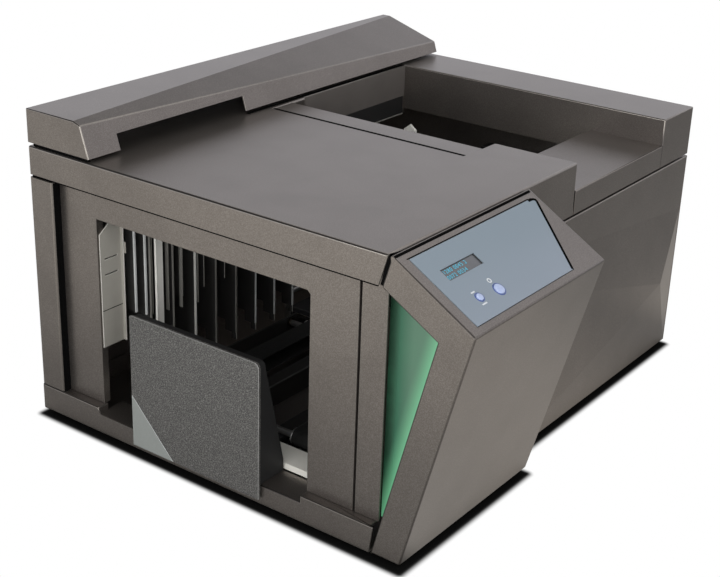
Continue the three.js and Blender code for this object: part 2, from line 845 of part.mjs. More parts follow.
// Outline of the control overlay on the slope, as [s, y], drawn in by a margin
function overlayOutline(margin) {
  const { top: s0, bottom: s1, front, rearTop, rearBottom, cornerCut } = overlay;
  return [
    [s0 + margin, front + margin],
    [s1 - margin, front + margin],
    [s1 - margin, rearBottom - margin],
    [s0 + margin + cornerCut, rearTop - margin],
    [s0 + margin, rearTop - margin - cornerCut],
  ];
}

function displayOutline(margin) {
  const { top: s0, height, front, length } = display;
  return [
    [s0 - margin, front - margin],
    [s0 + height + margin, front - margin],
    [s0 + height + margin, front + length + margin],
    [s0 - margin, front + length + margin],
  ];
}

// Control overlay: a thin plate in its pocket, open at the display and the keys
function panelOverlay() {
  const n0 = -overlay.pocket + seatGap;
  const holes = [startKey, stopKey].map((place) =>
    circle([place.down, place.back], place.radius + seatGap, key.sides),
  );
  const geometry = prismGeometry(
    "z",
    overlayOutline(seatGap),
    n0,
    n0 + overlay.thickness,
    [displayOutline(seatGap), ...holes],
  );
  return onSlope(geometry);
}

// Display: a module behind the skin whose glass fills the window, slightly sunk
function displayModule() {
  const behind = -housing.skin - seatGap;
  return join(
    onSlope(prismGeometry("z", displayOutline(display.rim), behind - display.moduleDepth, behind)),
    onSlope(prismGeometry("z", displayOutline(0), behind - display.moduleDepth / 2, -display.sunk)),
  );
}

// Key: a domed cap on a stem, with a collar under the skin that keeps it in
function controlKey(place) {
  const behind = -housing.skin - seatGap;
  const stemRadius = place.radius * key.stemShare;
  const stemEnd = -board.depth + board.switchHeight + key.travel + key.rest;
  const profile = [
    [0, stemEnd],
    [stemRadius, stemEnd],
    [stemRadius, behind - key.collar],
    [place.rimRadius, behind - key.collar],
    [place.rimRadius, behind],
    [place.radius, behind],
    [place.radius, key.proud],
    [stemRadius, key.proud + key.domeRise],
    [0, key.proud + key.domeRise],
  ];
  return onSlope(turnedGeometry("z", profile, [place.down, place.back, 0], key.sides));
}

// Board behind the keys, on four posts under the slope, with one small switch for each key
const boardCorners = [board.top, board.bottom].flatMap((s, i) =>
  [board.front, board.front + board.length].map((y, j) => [
    s + (i ? -1 : 1) * board.postInset,
    y + (j ? -1 : 1) * board.postInset,
  ]),
);

function controlBoard() {
  const outline = [
    [board.top, board.front],
    [board.bottom, board.front],
    [board.bottom, board.front + board.length],
    [board.top, board.front + board.length],
  ];
  const half = board.switchSide / 2;
  const switches = [startKey, stopKey].map(({ down, back }) => {
    const sides = [
      [down - half, back - half],
      [down + half, back - half],
      [down + half, back + half],
      [down - half, back + half],
    ];
    const n0 = -board.depth - board.thickness / 2;
    return onSlope(prismGeometry("z", sides, n0, -board.depth + board.switchHeight));
  });
  return join(
    onSlope(prismGeometry("z", outline, -board.depth - board.thickness, -board.depth)),
    ...switches,
  );
}

// Light panel: a diffuser behind the returns of the opening, with its strip of light emitters
function lightPanel() {
  const { top: f, nose: e, foot: d } = innerProfile;
  const x0 = body.width + housing.bodyGap + seatGap;
  const upper = (x) => f[1] + ((e[1] - f[1]) * (x - f[0])) / (e[0] - f[0]);
  const lower = (x) => d[1] + ((e[1] - d[1]) * (x - d[0])) / (e[0] - d[0]);
  const outline = [
    [x0, lower(x0) - light.overlap],
    [e[0] + light.overlap, e[1]],
    [x0, upper(x0) + light.overlap],
  ];
  const y0 = housing.returnDepth + seatGap;
  return prism("y", outline, y0, y0 + light.thickness);
}

function ledBoard() {
  const { nose: e, foot: d } = innerProfile;
  const run = [e[0] - d[0], e[1] - d[1]];
  const along = (share, out) => [d[0] + run[0] * share + out, d[1] + run[1] * share];
  const out = light.overlap / 2;
  const outline = [
    along(light.footShare, out),
    along(light.footShare, out + light.ledThickness),
    along(light.headShare, out + light.ledThickness),
    along(light.headShare, out),
  ];
  const y0 = housing.returnDepth + light.thickness + 2 * seatGap;
  return prism("y", outline.reverse(), y0, y0 + light.ledDepth);
}

// Light grey guide plate inside the window's left edge, fixed to the front panel's folded edge
function windowSidePlate() {
  const { front, rear, bottom, slotHeight, slotLength, slotPitch } = sidePlate;
  const rearTop = top - sidePlate.drop;
  const frontTop = top - sidePlate.frontDrop;
  const slotTop = top - sidePlate.slotDrop;
  const x = portal.left + seatGap;
  const face = [
    [front, bottom],
    [rear, bottom],
    [rear, rearTop],
    [front, frontTop],
  ];
  const middle = (front + rear) / 2;
  const slots = [slotTop, slotTop - slotPitch].map((z) => [
    [middle - slotLength / 2, z - slotHeight],
    [middle + slotLength / 2, z - slotHeight],
    [middle + slotLength / 2, z],
    [middle - slotLength / 2, z],
  ]);
  return join(
    prism("x", face, x, x + thinSheet, slots),
    block([x, x + sidePlate.edge], [rear - thinSheet, rear], [bottom, rearTop]),
  );
}

// Separator comb: fins beside the paper path, long and short by turns, on a rail that two folded
// hangers hold under the front top cover
function separatorComb(side) {
  const rear = cover.frontDepth - comb.lastInset + comb.tail;
  const toe = comb.inner - comb.toeWidth;
  const step = toe - comb.stepWidth;
  const fin = [
    [comb.outer, railBottom + overrun],
    [comb.outer, comb.finFoot + comb.heelStep],
    [step, comb.finFoot + comb.heelStep],
    [step, comb.finFoot + comb.toeStep],
    [toe, comb.finFoot + comb.toeStep],
    [toe, comb.finFoot],
    [comb.inner, comb.finFoot],
    [comb.inner, railBottom + overrun],
  ];
  const longFins = Array.from({ length: comb.fins }, (_, i) => {
    const y = comb.firstFin + i * finPitch;
    return prism("y", fin, y, y + thinSheet);
  });
  const shortFins = Array.from({ length: comb.fins - 1 }, (_, i) => {
    const y = comb.firstFin + (i + 1 / 2) * finPitch;
    return block([comb.shortFrom, comb.shortTo], [y, y + thinSheet], [comb.shortFoot, railTop]);
  });
  const coverUnder = top - sheet - seatGap;
  const hangers = [comb.front, rear - comb.hangerWidth].flatMap((y) => {
    const along = [y, y + comb.hangerWidth];
    return [
      block([comb.outer, comb.outer + sheet], along, [railTop - overrun, coverUnder]),
      block([comb.outer, comb.outer + comb.hangerReach], along, [coverUnder - sheet, coverUnder]),
    ];
  });
  const made = join(
    block([comb.outer, comb.inner], [comb.front, rear], [railBottom, railTop]),
    ...longFins,
    ...shortFins,
    ...hangers,
  );
  return side < 0 ? made : mirrored(made);
}

// The same piece on the other side of the body's middle plane
function mirrored(made) {
  const geometry = geometryOf(made);
  const position = geometry.getAttribute("position");
  for (let i = 0; i < position.count; i += 3) {
    const corners = [0, 1, 2].map((k) => new THREE.Vector3().fromBufferAttribute(position, i + k));
    [corners[0], corners[2], corners[1]].forEach((corner, k) => {
      position.setXYZ(i + k, body.width - corner.x, corner.y, corner.z);
    });
  }
  return solid(geometry);
}

// White guide strip that stands just inside the comb, by the second gap
function whiteGuideStrip() {
  const x0 = comb.inner + seatGap;
  const rise = [whiteGuide.foot, railTop];
  return join(
    block([x0, x0 + thinSheet], [whiteGuide.y, whiteGuide.y + whiteGuide.width], rise),
    block([x0, x0 + whiteGuide.stand * 2], [whiteGuide.y, whiteGuide.y + thinSheet], rise),
  );
}

// Transport side frame: a plate on a foot flange, lower under the heater, with bores for the shafts
function transportFrame(side) {
  const x0 = side < 0 ? frameLeft : frameRight - sheet;
  const z0 = floorZ + seatGap;
  const rearTop = trayFloor - heater.trayWall - seatGap;
  const face = [
    [frame.front, z0],
    [frameRear, z0],
    [frameRear, rearTop],
    [heaterY[0] - frame.heaterGap, rearTop],
    [heaterY[0] - frame.heaterGap, z0 + frame.height],
    [frame.front, z0 + frame.height],
  ];
  const bores = [belt.shaftFront, shaftRear].map((y) =>
    circle([y, belt.shaftZ], bearing.radius + seatGap, bearing.sides),
  );
  const flangeX = side < 0 ? [x0 - frame.flange, x0 + sheet] : [x0, x0 + sheet + frame.flange];
  return join(
    prism("x", face, x0, x0 + sheet, bores),
    block(flangeX, [frame.front, frameRear], [z0, z0 + sheet]),
  );
}

// Bearing sleeve in a side frame
function shaftBearing(side, y) {
  const x0 = side < 0 ? frameLeft : frameRight - bearing.width;
  return prism(
    "x",
    circle([y, belt.shaftZ], bearing.radius, bearing.sides),
    x0,
    x0 + bearing.width,
    [circle([y, belt.shaftZ], belt.shaftRadius + boreGap, bearing.sides)],
  );
}

// Belt shaft with its two rimmed pulleys, and with a drive pulley on the driven one
function beltShaft(y, driven) {
  const from = frameLeft - sheet;
  const to = driven ? pulleyFrom + drive.pulleyWidth + sheet : frameRight + sheet;
  const half = belt.pulleyWidth / 2;
  const shaft = prism("x", circle([y, belt.shaftZ], belt.shaftRadius, bearing.sides), from, to);
  const pulleys = pulleyCentres.map((x) => {
    const profile = [
      [0, -half],
      [belt.rimRadius, -half],
      [belt.rimRadius, belt.rimWidth - half],
      [belt.pulleyRadius, belt.rimWidth - half],
      [belt.pulleyRadius, half - belt.rimWidth],
      [belt.rimRadius, half - belt.rimWidth],
      [belt.rimRadius, half],
      [0, half],
    ];
    return turned("x", profile, [x, y, belt.shaftZ], belt.sides);
  });
  if (!driven) return join(shaft, ...pulleys);
  return join(shaft, ...pulleys, drivePulley(y, drive.shaftPulleyRadius));
}

// Pulley of the drive belt, with a rim each side
function drivePulley(y, radius) {
  const width = drive.pulleyWidth;
  const profile = [
    [0, 0],
    [radius + belt.rimWidth, 0],
    [radius + belt.rimWidth, (width - drive.beltWidth) / 2 - seatGap],
    [radius, (width - drive.beltWidth) / 2 - seatGap],
    [radius, (width + drive.beltWidth) / 2 + seatGap],
    [radius + belt.rimWidth, (width + drive.beltWidth) / 2 + seatGap],
    [radius + belt.rimWidth, width],
    [0, width],
  ];
  return turned("x", profile, [pulleyFrom, y, belt.shaftZ], belt.sides);
}

// Closed belt round two pulleys, run square across the shafts
function loopBelt([yA, rA], [yB, rB], thickness, x0, x1) {
  const loop = (extra) => {
    const lean = Math.asin((rB - rA) / (yB - yA));
    const half = (y, radius, start) =>
      Array.from({ length: belt.sides / 2 + 1 }, (_, i) => {
        const sweep = start > 0 ? Math.PI + 2 * lean : Math.PI - 2 * lean;
        const middle = start > 0 ? 0 : Math.PI;
        const angle = middle - sweep / 2 + (sweep * i) / (belt.sides / 2);
        const reach = (radius + extra) / Math.cos(sweep / belt.sides);
        return [y + reach * Math.cos(angle), belt.shaftZ + reach * Math.sin(angle)];
      });
    return [...half(yB, rB, 1), ...half(yA, rA, -1)];
  };
  return prism("x", loop(seatGap + thickness), x0, x1, [loop(seatGap)]);
}

function transportBelt(x) {
  const near = [belt.shaftFront, belt.pulleyRadius];
  const far = [shaftRear, belt.pulleyRadius];
  return loopBelt(near, far, belt.thickness, x - belt.width / 2, x + belt.width / 2);
}

function driveBelt() {
  const near = [shaftRear, drive.shaftPulleyRadius];
  const far = [motorY, drive.motorPulleyRadius];
  const x0 = pulleyFrom + (drive.pulleyWidth - drive.beltWidth) / 2;
  return loopBelt(near, far, drive.beltThickness, x0, x0 + drive.beltWidth);
}

// Output floor: a bright plate between the lip's shelf and the first shaft, with a front flange
function outputFloorPlate() {
  const x0 = frameLeft + sheet + seatGap;
  const x1 = frameRight - sheet - seatGap;
  const z1 = shelfZ + outputFloor.rise;
  const slots = barCentres.map((x) =>
    block(
      [x - outputFloor.slotWidth / 2, x + outputFloor.slotWidth / 2],
      [outputFloor.front - overrun, outputFloor.front + thinSheet + overrun],
      [shelfZ - overrun, z1 - thinSheet],
    ),
  );
  return cut(
    join(
      block([x0, x1], [outputFloor.front, outputFloor.rear], [z1 - thinSheet, z1]),
      block([x0, x1], [outputFloor.front, outputFloor.front + thinSheet], [shelfZ, z1]),
      block([x0, x0 + thinSheet], [frame.front, outputFloor.rear], [shelfZ - lip.flangeDepth, z1]),
      block([x1 - thinSheet, x1], [frame.front, outputFloor.rear], [shelfZ - lip.flangeDepth, z1]),
    ),
    ...slots,
  );
}

const stopRadii = [0, 0, stopPlate.corner, stopPlate.corner / 2];

// Corner panel's outline in the stop's lower left corner, shrunk by a slit
function stopCornerOutline(slit) {
  return [
    [stopLeft, stopPlate.bottom],
    [stopLeft + stopCorner.width - slit, stopPlate.bottom],
    [stopLeft, stopPlate.bottom + stopCorner.height - slit],
  ];
}

// Output stop's front plate, with rounded upper corners and a pocket for the corner panel
function stopFrontPlate() {
  const { bottom, top: plateTop } = stopPlate;
  const left = stopLeft;
  const outline = roundedOutline([left, stopRight], [bottom, plateTop], stopRadii, stopPlate.cornerSteps);
  const pocketFrom = stopFront - overrun;
  const pocket = [
    [left - overrun, bottom - overrun],
    [left + stopCorner.width * (1 + overrun / stopCorner.height), bottom - overrun],
    [left - overrun, bottom + stopCorner.height * (1 + overrun / stopCorner.width)],
  ];
  return cut(
    prism("y", outline, stopFront, stopBack),
    prism("y", pocket, pocketFrom, stopFront + stopCorner.sunk + seatGap),
  );
}

function stopCornerPanel() {
  const outline = stopCornerOutline(2 * stopCorner.slit);
  return prism("y", outline, stopFront, stopFront + stopCorner.sunk);
}

// Output stop's body: a frame behind the plate, tapered gussets, a foot and two slide bars
function stopSupport() {
  const x0 = stopLeft + stopBody.inset;
  const x1 = stopRight - stopBody.inset;
  const y0 = stopBack + seatGap;
  const y1 = y0 + stopBody.depth;
  const z0 = shelfZ + stopBody.lift;
  const z1 = stopPlate.top - stopBody.inset;
  const outer = roundedOutline([x0, x1], [z0, z1], stopRadii, stopPlate.cornerSteps);
  const hollow = roundedOutline(
    [x0 + stopBody.wall, x1 - stopBody.wall],
    [z0 + stopBody.wall, z1 - stopBody.wall],
    [0, 0, stopBody.wall, stopBody.wall],
    stopPlate.cornerSteps,
  );
  const gusset = [
    [y1 - stopBody.wall, z0],
    [stopBody.gusset, z0],
    [stopBody.gusset, z0 + stopBody.gussetKnee],
    [y1, z1 - stopBody.gussetTop],
    [y1 - stopBody.wall, z1 - stopBody.gussetTop],
  ];
  const bars = barCentres.map((x) =>
    block(
      [x - slideBar.width / 2, x + slideBar.width / 2],
      [y0 + stopBody.wall, slideEnd],
      [z0, z0 + slideBar.height],
    ),
  );
  return join(
    cut(
      prism("y", outer, y0, y1),
      prism("y", hollow, y0 + stopBody.wall, y1 + overrun),
    ),
    prism("x", gusset, x0, x0 + stopBody.wall),
    prism("x", gusset, x1 - stopBody.wall, x1),
    block([x0, x1], [y0, stopBody.gusset], [z0, z0 + stopBody.foot]),
    ...bars,
  );
}

// Slide guide: a stand with a square bore that holds one slide bar
function stopSlideGuide(x) {
  const boreX = slideBar.width / 2 + slideGuide.clearance;
  const outX = boreX + slideGuide.wall;
  const z0 = floorZ + seatGap;
  const barZ = shelfZ + stopBody.lift;
  const boreZ = [barZ - slideGuide.clearance, barZ + slideBar.height + slideGuide.clearance];
  const outline = [
    [x - outX, z0],
    [x + outX, z0],
    [x + outX, boreZ[1] + slideGuide.web],
    [x - outX, boreZ[1] + slideGuide.web],
  ];
  const bore = [
    [x - boreX, boreZ[0]],
    [x + boreX, boreZ[0]],
    [x + boreX, boreZ[1]],
    [x - boreX, boreZ[1]],
  ];
  const hollow = [
    [x - boreX, z0 + slideGuide.web],
    [x + boreX, z0 + slideGuide.web],
    [x + boreX, boreZ[0] - slideGuide.web],
    [x - boreX, boreZ[0] - slideGuide.web],
  ];
  return prism("y", outline, slideGuide.from, slideEnd, [bore, hollow]);
}

// Heater: plate, pad under it and a tray on the base, stacked face to face with a small gap
function heaterPlate() {
  return block(heaterX, heaterY, [heater.top - heater.plate, heater.top]);
}

function heaterPad() {
  const margin = heater.pad * 2;
  return block(
    [heaterX[0] + margin, heaterX[1] - margin],
    [heaterY[0] + margin, heaterY[1] - margin],
    [padTop - heater.pad, padTop],
  );
}

function heaterTray() {
  const z0 = floorZ + seatGap;
  const wall = heater.trayWall;
  const [x0, x1] = heaterX;
  return join(
    block([x0, x1], heaterY, [trayFloor - wall, trayFloor]),
    block([x0, x0 + wall], heaterY, [z0, padTop]),
    block([x1 - wall, x1], heaterY, [z0, padTop]),
  );
}

// Guide rod of the pusher between two posts that stand on the tray's floor
function pusherRail(x) {
  const z = rail.z;
  const ends = [heaterY[0] + rail.startGap, frameRear - rail.endThickness];
  const postX = [x - rail.endHalf, x + rail.endHalf];
  const postZ = [floorZ + seatGap, z + rail.endHalf];
  return join(
    prism("y", circle([x, z], rail.radius, rail.sides), ends[0], ends[1] + rail.endThickness),
    ...ends.map((y) => block(postX, [y, y + rail.endThickness], postZ)),
  );
}

// Pusher: the hopper's back plate, with an arm each side to a carriage on its rod
function hopperPusher() {
  const { carriage, carriageHalf, thickness } = pusher;
  const y = pusherY;
  const armFoot = rail.z + pusher.armRise + rail.radius;
  const armZ = [armFoot, armFoot + pusher.armHeight];
  const carriages = railX.map((x) =>
    prism(
      "y",
      [
        [x - carriageHalf, rail.z - carriageHalf],
        [x + carriageHalf, rail.z - carriageHalf],
        [x + carriageHalf, armZ[1]],
        [x - carriageHalf, armZ[1]],
      ],
      y - carriage / 2,
      y + carriage / 2,
      [circle([x, rail.z], rail.radius + boreGap, rail.sides)],
    ),
  );
  return join(
    block(heaterX, [y, y + thickness], [pusher.bottom, pusher.top]),
    block(railX, [y, y + thickness * 2], armZ),
    ...carriages,
  );
}

// White tab with a pointed top that stands on the pusher's face
function pusherHandle() {
  const { x, width, rise, tip, seat, thickness } = handle;
  const tipZ = pusher.top + rise;
  const outline = [
    [x - width / 2, pusher.top - seat],
    [x + width / 2, pusher.top - seat],
    [x + width / 2, tipZ - tip],
    [x, tipZ],
    [x - width / 2, tipZ - tip],
  ];
  const y1 = pusherY - seatGap;
  return prism("y", outline, y1 - thickness, y1);
}

// Drive motor on an angle bracket, with its front boss and shaft
function driveMotor() {
  const z = belt.shaftZ;
  const y = motorY;
  const plate = [motorFrom - drive.bracketThickness, motorFrom];
  const z0 = floorZ + seatGap;
  const reach = [y - drive.bracketHalf, y + drive.bracketHalf];
  const boss = [plate[0] - sheet, plate[0]];
  return join(
    disc("x", [motorFrom, y, z], drive.motorRadius, drive.motorLength, key.sides),
    block(plate, reach, [z0, z + drive.bracketHalf]),
    block([plate[0], plate[0] + drive.bracketHalf], reach, [z0, z0 + sheet]),
    cut(
      disc("x", [boss[0], y, z], drive.bossRadius, sheet + overrun, key.sides),
      prism("x", circle([y, z], drive.shaftRadius + boreGap, rail.sides), boss[0] - overrun, boss[1]),
    ),
  );
}

function motorPulley() {
  const y = motorY;
  const shaftEnd = motorFrom - drive.bracketThickness - seatGap;
  return join(
    drivePulley(y, drive.motorPulleyRadius),
    prism(
      "x",
      circle([y, belt.shaftZ], drive.shaftRadius, rail.sides),
      pulleyFrom + drive.pulleyWidth - overrun,
      shaftEnd,
    ),
  );
}

// Power supply: a closed case with a row of slots pressed into its lid
function powerSupply() {
  const { width, height } = supply;
  const left = body.width - supply.sideGap - width;
  const front = motorY + supply.motorGap + drive.bracketHalf;
  const rear = body.depth - supply.rearInset;
  const z0 = floorZ + seatGap;
  const pitch = (rear - front) / (supply.slots + 1);
  const slots = Array.from({ length: supply.slots }, (_, i) => {
    const y = front + (i + 1) * pitch;
    const half = (pitch * supply.slotShare) / 2;
    return block(
      [left + pitch, left + width - pitch],
      [y - half, y + half],
      [z0 + height - supply.slotDeep, z0 + height + overrun],
    );
  });
  return cut(block([left, left + width], [front, rear], [z0, z0 + height]), ...slots);
}

const fanRear = body.depth - sheet - seatGap;

// Cooling fan: a square frame with spokes and a bush, and a rotor of swept blades
function fanHousing() {
  const half = fan.side / 2;
  const y0 = fanRear - fan.depth;
  const square = [
    [fan.x - half, fan.z - half],
    [fan.x + half, fan.z - half],
    [fan.x + half, fan.z + half],
    [fan.x - half, fan.z + half],
  ];
  const ring = prism("y", square, y0, fanRear, [circle([fan.x, fan.z], fan.bore, fan.sides)]);
  const spokes = Array.from({ length: fan.spokes }, (_, i) => {
    const angle = (2 * Math.PI * i) / fan.spokes;
    const along = [Math.cos(angle), Math.sin(angle)];
    const across = [-along[1] * (fan.spokeWidth / 2), along[0] * (fan.spokeWidth / 2)];
    const reach = fan.bore + overrun;
    const corner = (far, sign) => [
      fan.x + along[0] * far + across[0] * sign,
      fan.z + along[1] * far + across[1] * sign,
    ];
    return prism("y", [corner(0, -1), corner(reach, -1), corner(reach, 1), corner(0, 1)],
      fanRear - fan.spokeWidth, fanRear);
  });
  const hub = prism("y", circle([fan.x, fan.z], fan.hub, fan.sides), fanRear - fan.spokeWidth, fanRear);
  const pin = prism(
    "y",
    circle([fan.x, fan.z], fan.shaftRadius, rail.sides),
    y0 + fan.depth / 2,
    fanRear - fan.spokeWidth / 2,
  );
  return join(ring, ...spokes, hub, pin);
}

function fanRotor() {
  const y0 = fanRear - fan.depth + fan.bladeGap;
  const y1 = fanRear - fan.spokeWidth - fan.bladeGap;
  const tip = fan.bore - fan.bladeGap;
  const middle = (y0 + y1) / 2;
  const blades = Array.from({ length: fan.blades }, (_, i) => {
    const length = tip - fan.hub + overrun;
    const geometry = new THREE.BoxGeometry(length, fan.bladeThickness, fan.chord);
    geometry.rotateX(fan.bladePitch);
    geometry.translate(fan.hub - overrun + length / 2, 0, 0);
    geometry.rotateY((2 * Math.PI * i) / fan.blades);
    geometry.translate(fan.x, middle, fan.z);
    return solid(geometry);
  });
  const hub = prism("y", circle([fan.x, fan.z], fan.hub, fan.sides), y0, y1);
  const bore = prism(
    "y",
    circle([fan.x, fan.z], fan.shaftRadius + boreGap, rail.sides),
    y0 + fan.depth / 2 - fan.bladeGap - seatGap,
    y1 + overrun,
  );
  return cut(join(hub, ...blades), bore);
}

// Power inlet: a flanged socket, open to the rear, with three flat contacts inside
function powerInlet() {
  const { z, width, height, depth, flange, lipDepth, socket, wall } = inlet;
  const x = inletX;
  const y1 = body.depth;
  const shell = join(
    block([x - width / 2, x + width / 2], [y1 - depth, y1 + lipDepth], [z - height / 2, z + height / 2]),
    block(
      [x - width / 2 - flange, x + width / 2 + flange],
      [y1 + seatGap, y1 + lipDepth],
      [z - height / 2 - flange, z + height / 2 + flange],
    ),
  );
  const hole = block(
    [x - width / 2 + wall, x + width / 2 - wall],
    [y1 - socket, y1 + lipDepth + overrun],
    [z - height / 2 + wall, z + height / 2 - wall],
  );
  const contacts = [-1, 0, 1].map((i) => {
    const cx = x + (i * width) / 4;
    const cz = z + (i === 0 ? wall : -wall) / 2;
    return block(
      [cx - wall / 4, cx + wall / 4],
      [y1 - socket - wall / 2, y1 - lipDepth],
      [cz - wall, cz + wall],
    );
  });
  return join(cut(shell, hole), ...contacts);
}

// Rocker switch: a frame in the rear panel and a tipping key
function rockerFrame() {
  const { width, height, depth, wall } = rocker;
  const x = rockerX;
  const halfX = width / 2 + wall;
  const halfZ = height / 2 + wall;
  const z = inlet.z;
  const y1 = body.depth;
  return cut(
    join(
      block([x - halfX, x + halfX], [y1 - depth, y1 + inlet.lipDepth], [z - halfZ, z + halfZ]),
      block(
        [x - halfX - wall, x + halfX + wall],
        [y1 + seatGap, y1 + inlet.lipDepth],
        [z - halfZ - wall, z + halfZ + wall],
      ),
    ),
    block([x - width / 2, x + width / 2], [y1 - depth + wall, y1 + depth], [z - height / 2, z + height / 2]),
  );
}

function rockerKey() {
  const { width, height, axisDepth, proud, wall, tilt } = rocker;
  const halfZ = height / 2 - wall / 2;
  const reach = proud + axisDepth;
  const side = [
    [-wall, -halfZ],
    [reach, -halfZ],
    [reach - wall, 0],
    [reach, halfZ],
    [-wall, halfZ],
    [-reach, 0],
  ];
  const geometry = prismGeometry("x", side, -width / 2 + seatGap, width / 2 - seatGap);
  geometry.rotateX(THREE.MathUtils.degToRad(tilt));
  geometry.translate(rockerX, body.depth - axisDepth, inlet.z);
  return solid(geometry);
}

// Rubber foot: a flared button under the tray
function rubberFoot(x, y) {
  const { radius, neckRadius, flare, height, sides } = foot;
  const z1 = height - seatGap;
  const profile = [
    [0, 0],
    [radius - flare, 0],
    [radius, flare],
    [radius, z1 - flare],
    [neckRadius, z1],
    [0, z1],
  ];
  return turned("z", profile, [x, y, 0], sides);
}

// A solid's surface as flat-shaded triangles
function geometryOf(made) {
  const { vertProperties, triVerts, numProp } = made.asOriginal().simplify(cleanUp).getMesh();
  const positions = new Float32Array(triVerts.length * 3);
  triVerts.forEach((vertex, i) => {
    positions.set(vertProperties.subarray(vertex * numProp, vertex * numProp + 3), i * 3);
  });
  const geometry = new THREE.BufferGeometry();
  geometry.setAttribute("position", new THREE.BufferAttribute(positions, 3));
  geometry.computeVertexNormals();
  return geometry;
}

const finish = (color, roughness, metalness = 0) =>
  new THREE.MeshStandardMaterial({ color, roughness, metalness, flatShading: true });

const materials = {
  coat: finish(0x6b655d, 0.62, 0.35),
  darkCoat: finish(0x34312f, 0.6, 0.3),
  overlay: finish(0x7d8a97, 0.4),
  display: finish(0x3b4148, 0.25),
  light: finish(0x6fbf8a, 0.5),
  key: finish(0x9db8ec, 0.3),
  texture: finish(0x55554f, 0.8),
  corner: finish(0x8e9390, 0.55),
  black: finish(0x1b1b1b, 0.6),
  paleSteel: finish(0x97978f, 0.5, 0.4),
  steel: finish(0xb8b8b4, 0.3, 0.9),
  white: finish(0xd9d8cf, 0.5),
  rubber: finish(0x141414, 0.9),
  board: finish(0x1d5a3a, 0.55),
  satinMetal: finish(0x9a9ca0, 0.35, 0.9),
};

// The machine stands with the middle of its outline over the origin
const machine = new THREE.Group();
machine.position.set(-noseX / 2, -(stopFront + body.depth + inlet.lipDepth) / 2, 0);
machine.name = "thermal_binding_machine";

function add(name, made, material) {
  const mesh = new THREE.Mesh(geometryOf(made), material.clone());
  mesh.name = name;
  machine.add(mesh);
}

add("base_tray", baseTray(), materials.coat);
add("left_side_panel", leftSidePanel(), materials.coat);
add("right_side_panel", rightSidePanel(), materials.coat);
add("rear_panel", rearPanel(), materials.coat);
add("front_panel", frontPanel(), materials.coat);
add("right_pillar", rightPillar(), materials.coat);
add("front_top_cover", frontTopCover(), materials.coat);
add("rear_top_cover", rearTopCover(), materials.coat);
add("hopper_front_guide", hopperFrontGuide(), materials.coat);
add("raised_cover", raisedCover(), materials.coat);
add("front_hinge_bracket", hingeBracket(hingePlaces[0]), materials.steel);
add("rear_hinge_bracket", hingeBracket(hingePlaces[1]), materials.steel);
add("control_housing", controlHousing(), materials.coat);
add("panel_overlay", panelOverlay(), materials.overlay);
add("display", displayModule(), materials.display);
add("start_button", controlKey(startKey), materials.key);
add("stop_button", controlKey(stopKey), materials.key);
add("control_board", controlBoard(), materials.board);
add("light_panel", lightPanel(), materials.light);
add("led_board", ledBoard(), materials.board);
add("window_side_plate", windowSidePlate(), materials.paleSteel);
add("left_separator_comb", separatorComb(-1), materials.darkCoat);
add("right_separator_comb", separatorComb(1), materials.darkCoat);
add("white_guide_strip", whiteGuideStrip(), materials.white);
add("left_transport_frame", transportFrame(-1), materials.darkCoat);
add("right_transport_frame", transportFrame(1), materials.darkCoat);
[
  ["front_left_bearing", -1, belt.shaftFront],
  ["front_right_bearing", 1, belt.shaftFront],
  ["rear_left_bearing", -1, shaftRear],
  ["rear_right_bearing", 1, shaftRear],
].forEach(([name, side, y]) => add(name, shaftBearing(side, y), materials.satinMetal));
add("front_belt_shaft", beltShaft(belt.shaftFront, false), materials.steel);
add("rear_belt_shaft", beltShaft(shaftRear, true), materials.steel);
add("left_transport_belt", transportBelt(pulleyCentres[0]), materials.rubber);
add("right_transport_belt", transportBelt(pulleyCentres[1]), materials.rubber);
add("output_floor", outputFloorPlate(), materials.white);
add("stop_front_plate", stopFrontPlate(), materials.texture);
add("stop_corner_panel", stopCornerPanel(), materials.corner);
add("stop_support", stopSupport(), materials.black);
add("left_slide_guide", stopSlideGuide(barCentres[0]), materials.darkCoat);
add("right_slide_guide", stopSlideGuide(barCentres[1]), materials.darkCoat);
add("heater_plate", heaterPlate(), materials.steel);
add("heater_pad", heaterPad(), materials.satinMetal);
add("heater_tray", heaterTray(), materials.darkCoat);
add("left_pusher_rail", pusherRail(railX[0]), materials.steel);
add("right_pusher_rail", pusherRail(railX[1]), materials.steel);
add("hopper_pusher", hopperPusher(), materials.darkCoat);
add("pusher_handle", pusherHandle(), materials.white);
add("drive_motor", driveMotor(), materials.darkCoat);
add("motor_pulley", motorPulley(), materials.steel);
add("drive_belt", driveBelt(), materials.rubber);
add("power_supply", powerSupply(), materials.paleSteel);
add("fan_housing", fanHousing(), materials.black);
add("fan_rotor", fanRotor(), materials.black);
add("power_inlet", powerInlet(), materials.black);
add("rocker_frame", rockerFrame(), materials.black);
add("rocker_switch", rockerKey(), materials.black);
[
  ["front_left_foot", foot.inset, foot.inset],
  ["front_right_foot", body.width - foot.inset, foot.inset],
  ["rear_left_foot", foot.inset, body.depth - foot.inset],
  ["rear_right_foot", body.width - foot.inset, body.depth - foot.inset],
].forEach(([name, x, y]) => add(name, rubberFoot(x, y), materials.rubber));

export default machine;
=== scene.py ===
import json
import math

import bmesh
import bpy
from mathutils import Matrix, Vector

